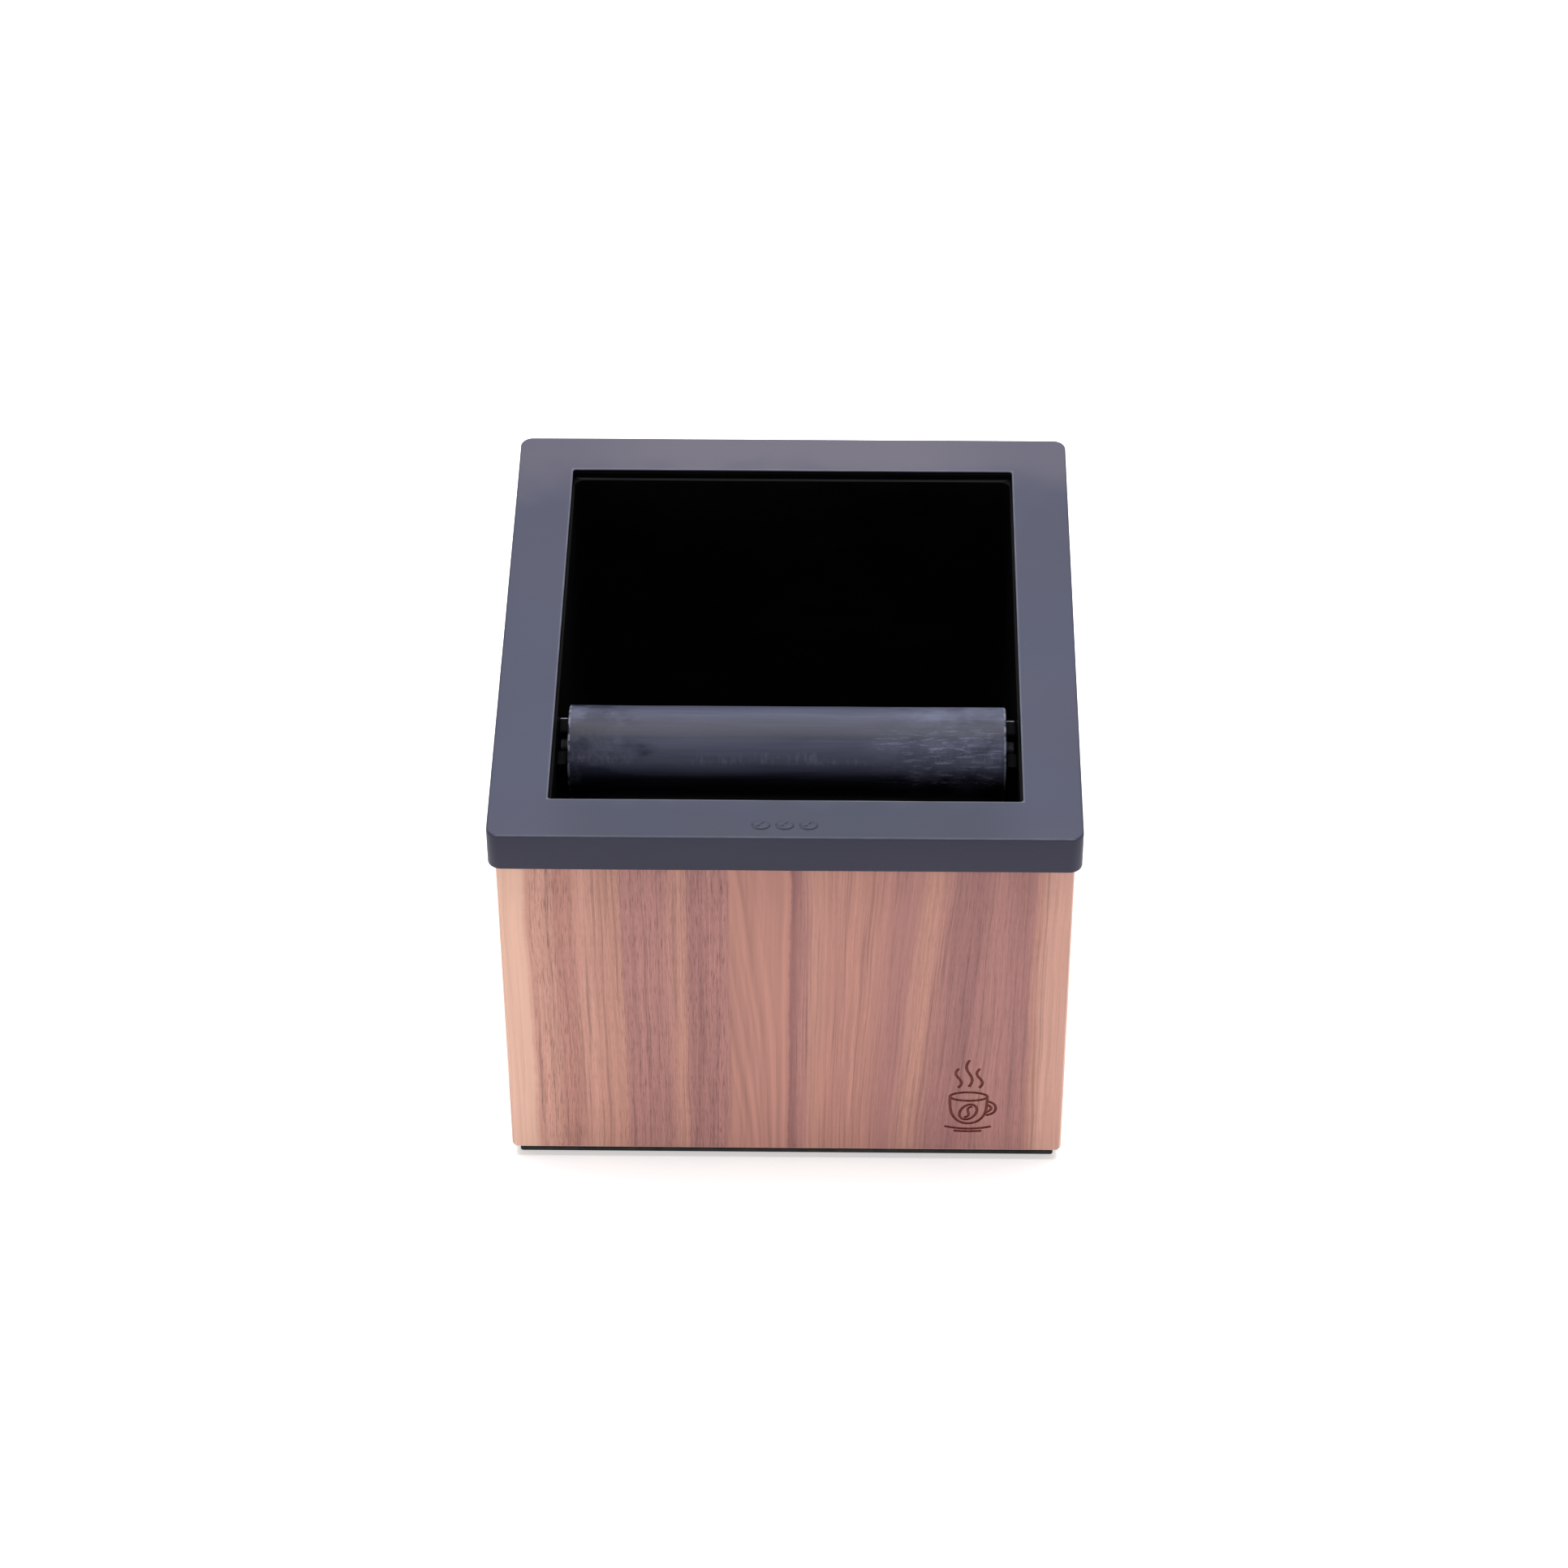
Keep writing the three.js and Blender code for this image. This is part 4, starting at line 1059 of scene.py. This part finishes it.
def bar_sleeve(rubber):
    """The rubber sleeve, slightly dented by use."""
    half, radius = half_sizes("bar_sleeve")
    edge, bore_edge, lengths = 0.6 * MM, 0.4 * MM, 36
    end = [(SLEEVE_BORE, half - bore_edge), (SLEEVE_BORE + bore_edge, half)]
    end += [(radius - edge + a, half - edge + b) for a, b in arc((0, 0), edge, 90, 0, 6)]
    body = [(radius, (half - edge) * (1 - 2 * i / lengths)) for i in range(1, lengths)]
    bm = place_on_bar(turned(both_ends(end, body), 96, closed=True))
    for vert in bm.verts:
        out = Vector((0, vert.co.y - BAR_CENTRE.y, vert.co.z - BAR_CENTRE.z))
        if out.length > radius - 1 * MM:
            dent = noise.noise(Vector((vert.co.x * 45, vert.co.y * 120, vert.co.z * 120)))
            vert.co -= out.normalized() * (0.10 * MM * max(dent, -0.4) + 0.04 * MM)
    add_piece("rubber_sleeve", bm, [rubber], "sleeve", ["bar_sleeve"])


def end_washer(side, plastic):
    node = f"bar_end_washer_{side}"
    half, radius = half_sizes(node)
    edge = 0.3 * MM
    end = [(CORE_BORE, half - edge), (CORE_BORE + edge, half)]
    end += [(radius - edge, half), (radius, half - edge)]
    bm = place_on_bar(turned(both_ends(end), 64, closed=True), middle_of(node).x)
    add_piece(f"end_washer_{side}", bm, [plastic], "sleeve", [node])


# ---------------------------------------------------------------- stage


def floor():
    """A wide pale floor just under the object, lifted towards white by a little light of its own."""
    bpy.ops.mesh.primitive_plane_add(size=30, location=(0, 0, -0.1 * MM))
    plane = bpy.context.object
    plane.name = "floor"
    white = Finish(
        "floor_white", specular_ior_level=0.1, roughness=0.9, base_color=(0.80, 0.80, 0.80, 1),
        emission_color=(1, 1, 1, 1), emission_strength=0.43,
    )
    plane.data.materials.append(white.material)


def area_light(name, place, size, power):
    """A rectangular light aimed at the object's middle."""
    data = bpy.data.lights.new(name, "AREA")
    data.shape = "RECTANGLE"
    data.size, data.size_y = size
    data.energy = power
    lamp = bpy.data.objects.new(name, data)
    bpy.context.scene.collection.objects.link(lamp)
    lamp.location = place
    aim = Vector((0, 0, 0.1)) - Vector(place)
    lamp.rotation_euler = aim.to_track_quat("-Z", "Y").to_euler()


def lights():
    """A white studio: bright round the horizon, a big light overhead and a second one behind."""
    world = bpy.data.worlds.new("studio")
    bpy.context.scene.world = world
    world.use_nodes = True
    nodes, links = world.node_tree.nodes, world.node_tree.links
    direction = nodes.new("ShaderNodeSeparateXYZ")
    links.new(nodes.new("ShaderNodeTexCoord").outputs["Generated"], direction.inputs["Vector"])
    dome = nodes.new("ShaderNodeMapRange")
    dome.interpolation_type = "SMOOTHSTEP"
    for socket, value in (("From Min", 0.1), ("From Max", 0.55), ("To Min", 0.95), ("To Max", 0.35)):
        dome.inputs[socket].default_value = value
    links.new(direction.outputs["Z"], dome.inputs["Value"])
    background = nodes["Background"]
    background.inputs["Color"].default_value = (1, 1, 1, 1)
    links.new(dome.outputs["Result"], background.inputs["Strength"])
    area_light("overhead", (0, 0.15, 1.7), (1.4, 1.0), 38)
    area_light("softbox", (0, 0.95, 1.35), (1.6, 0.9), 21)


def camera():
    """The view: from the front and 42 degrees down, turned by a degree and rolled by a third of one."""
    yaw, pitch, roll = (math.radians(a) for a in (-1.045, 42.04, 0.305))
    distance, aside, upward = 1.5168, 1.84 * MM, 0.38 * MM
    across = math.cos(pitch)
    forward = Vector((math.sin(yaw) * across, math.cos(yaw) * across, -math.sin(pitch)))
    level = Vector((math.cos(yaw), -math.sin(yaw), 0))
    down = forward.cross(level)
    right = math.cos(roll) * level + math.sin(roll) * down
    below = math.cos(roll) * down - math.sin(roll) * level
    aim = Vector((0, 0, 0.075)) - aside * right - upward * below
    data = bpy.data.cameras.new("camera")
    data.lens = 107.1
    data.sensor_width = 36
    seat = bpy.data.objects.new("camera", data)
    bpy.context.scene.collection.objects.link(seat)
    turn = Matrix((right, -below, -forward)).transposed().to_4x4()
    seat.matrix_world = Matrix.Translation(aim - distance * forward) @ turn
    bpy.context.scene.camera = seat


# ---------------------------------------------------------------- everything together

grey_silicone = silicone()
plated = zinc()
black_nylon = nylon()
birch = plywood()
soft_rubber = foot_rubber()
cradle_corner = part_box("bar_cradle_right")[1] / MM
cradle_coat = powder_coat("cradle_coat", (cradle_corner.y, cradle_corner.z))
plate_coat = powder_coat("powder_coat")

top_frame(grey_silicone)
frame_beans(grey_silicone)
case_walls(burnt_wood())
base_sheet("base_sheet", "base_plate", plate_coat, 0.2 * MM, PLATE_HOLE)
base_sheet("base_mat", "anti_slip_mat", soft_rubber, 0.3 * MM, MAT_HOLE)
base_screws(plated)
bin_pads(soft_rubber)
grounds_bin(bin_plastic())
for hand in ("left", "right"):
    cradle_plate(hand, cradle_coat)
    for where in ("front", "back"):
        cradle_rivet(hand, where, plated)
bar_rod(oxide_steel())
bar_sleeve(bar_rubber())
for hand in ("left", "right"):
    end_washer(hand, black_nylon)

# CAD nodes that stay: hidden pieces whose plain shape is right
kept_nodes = {f"corner_spline_{corner}": birch for corner in CORNERS}
kept_nodes.update(case_floor=birch, bar_core=black_nylon)
for node, finish in kept_nodes.items():
    for material_slot in frame["nodes"][node].material_slots:
        material_slot.material = finish

floor()
lights()
camera()
bpy.context.scene.view_settings.view_transform = "Standard"
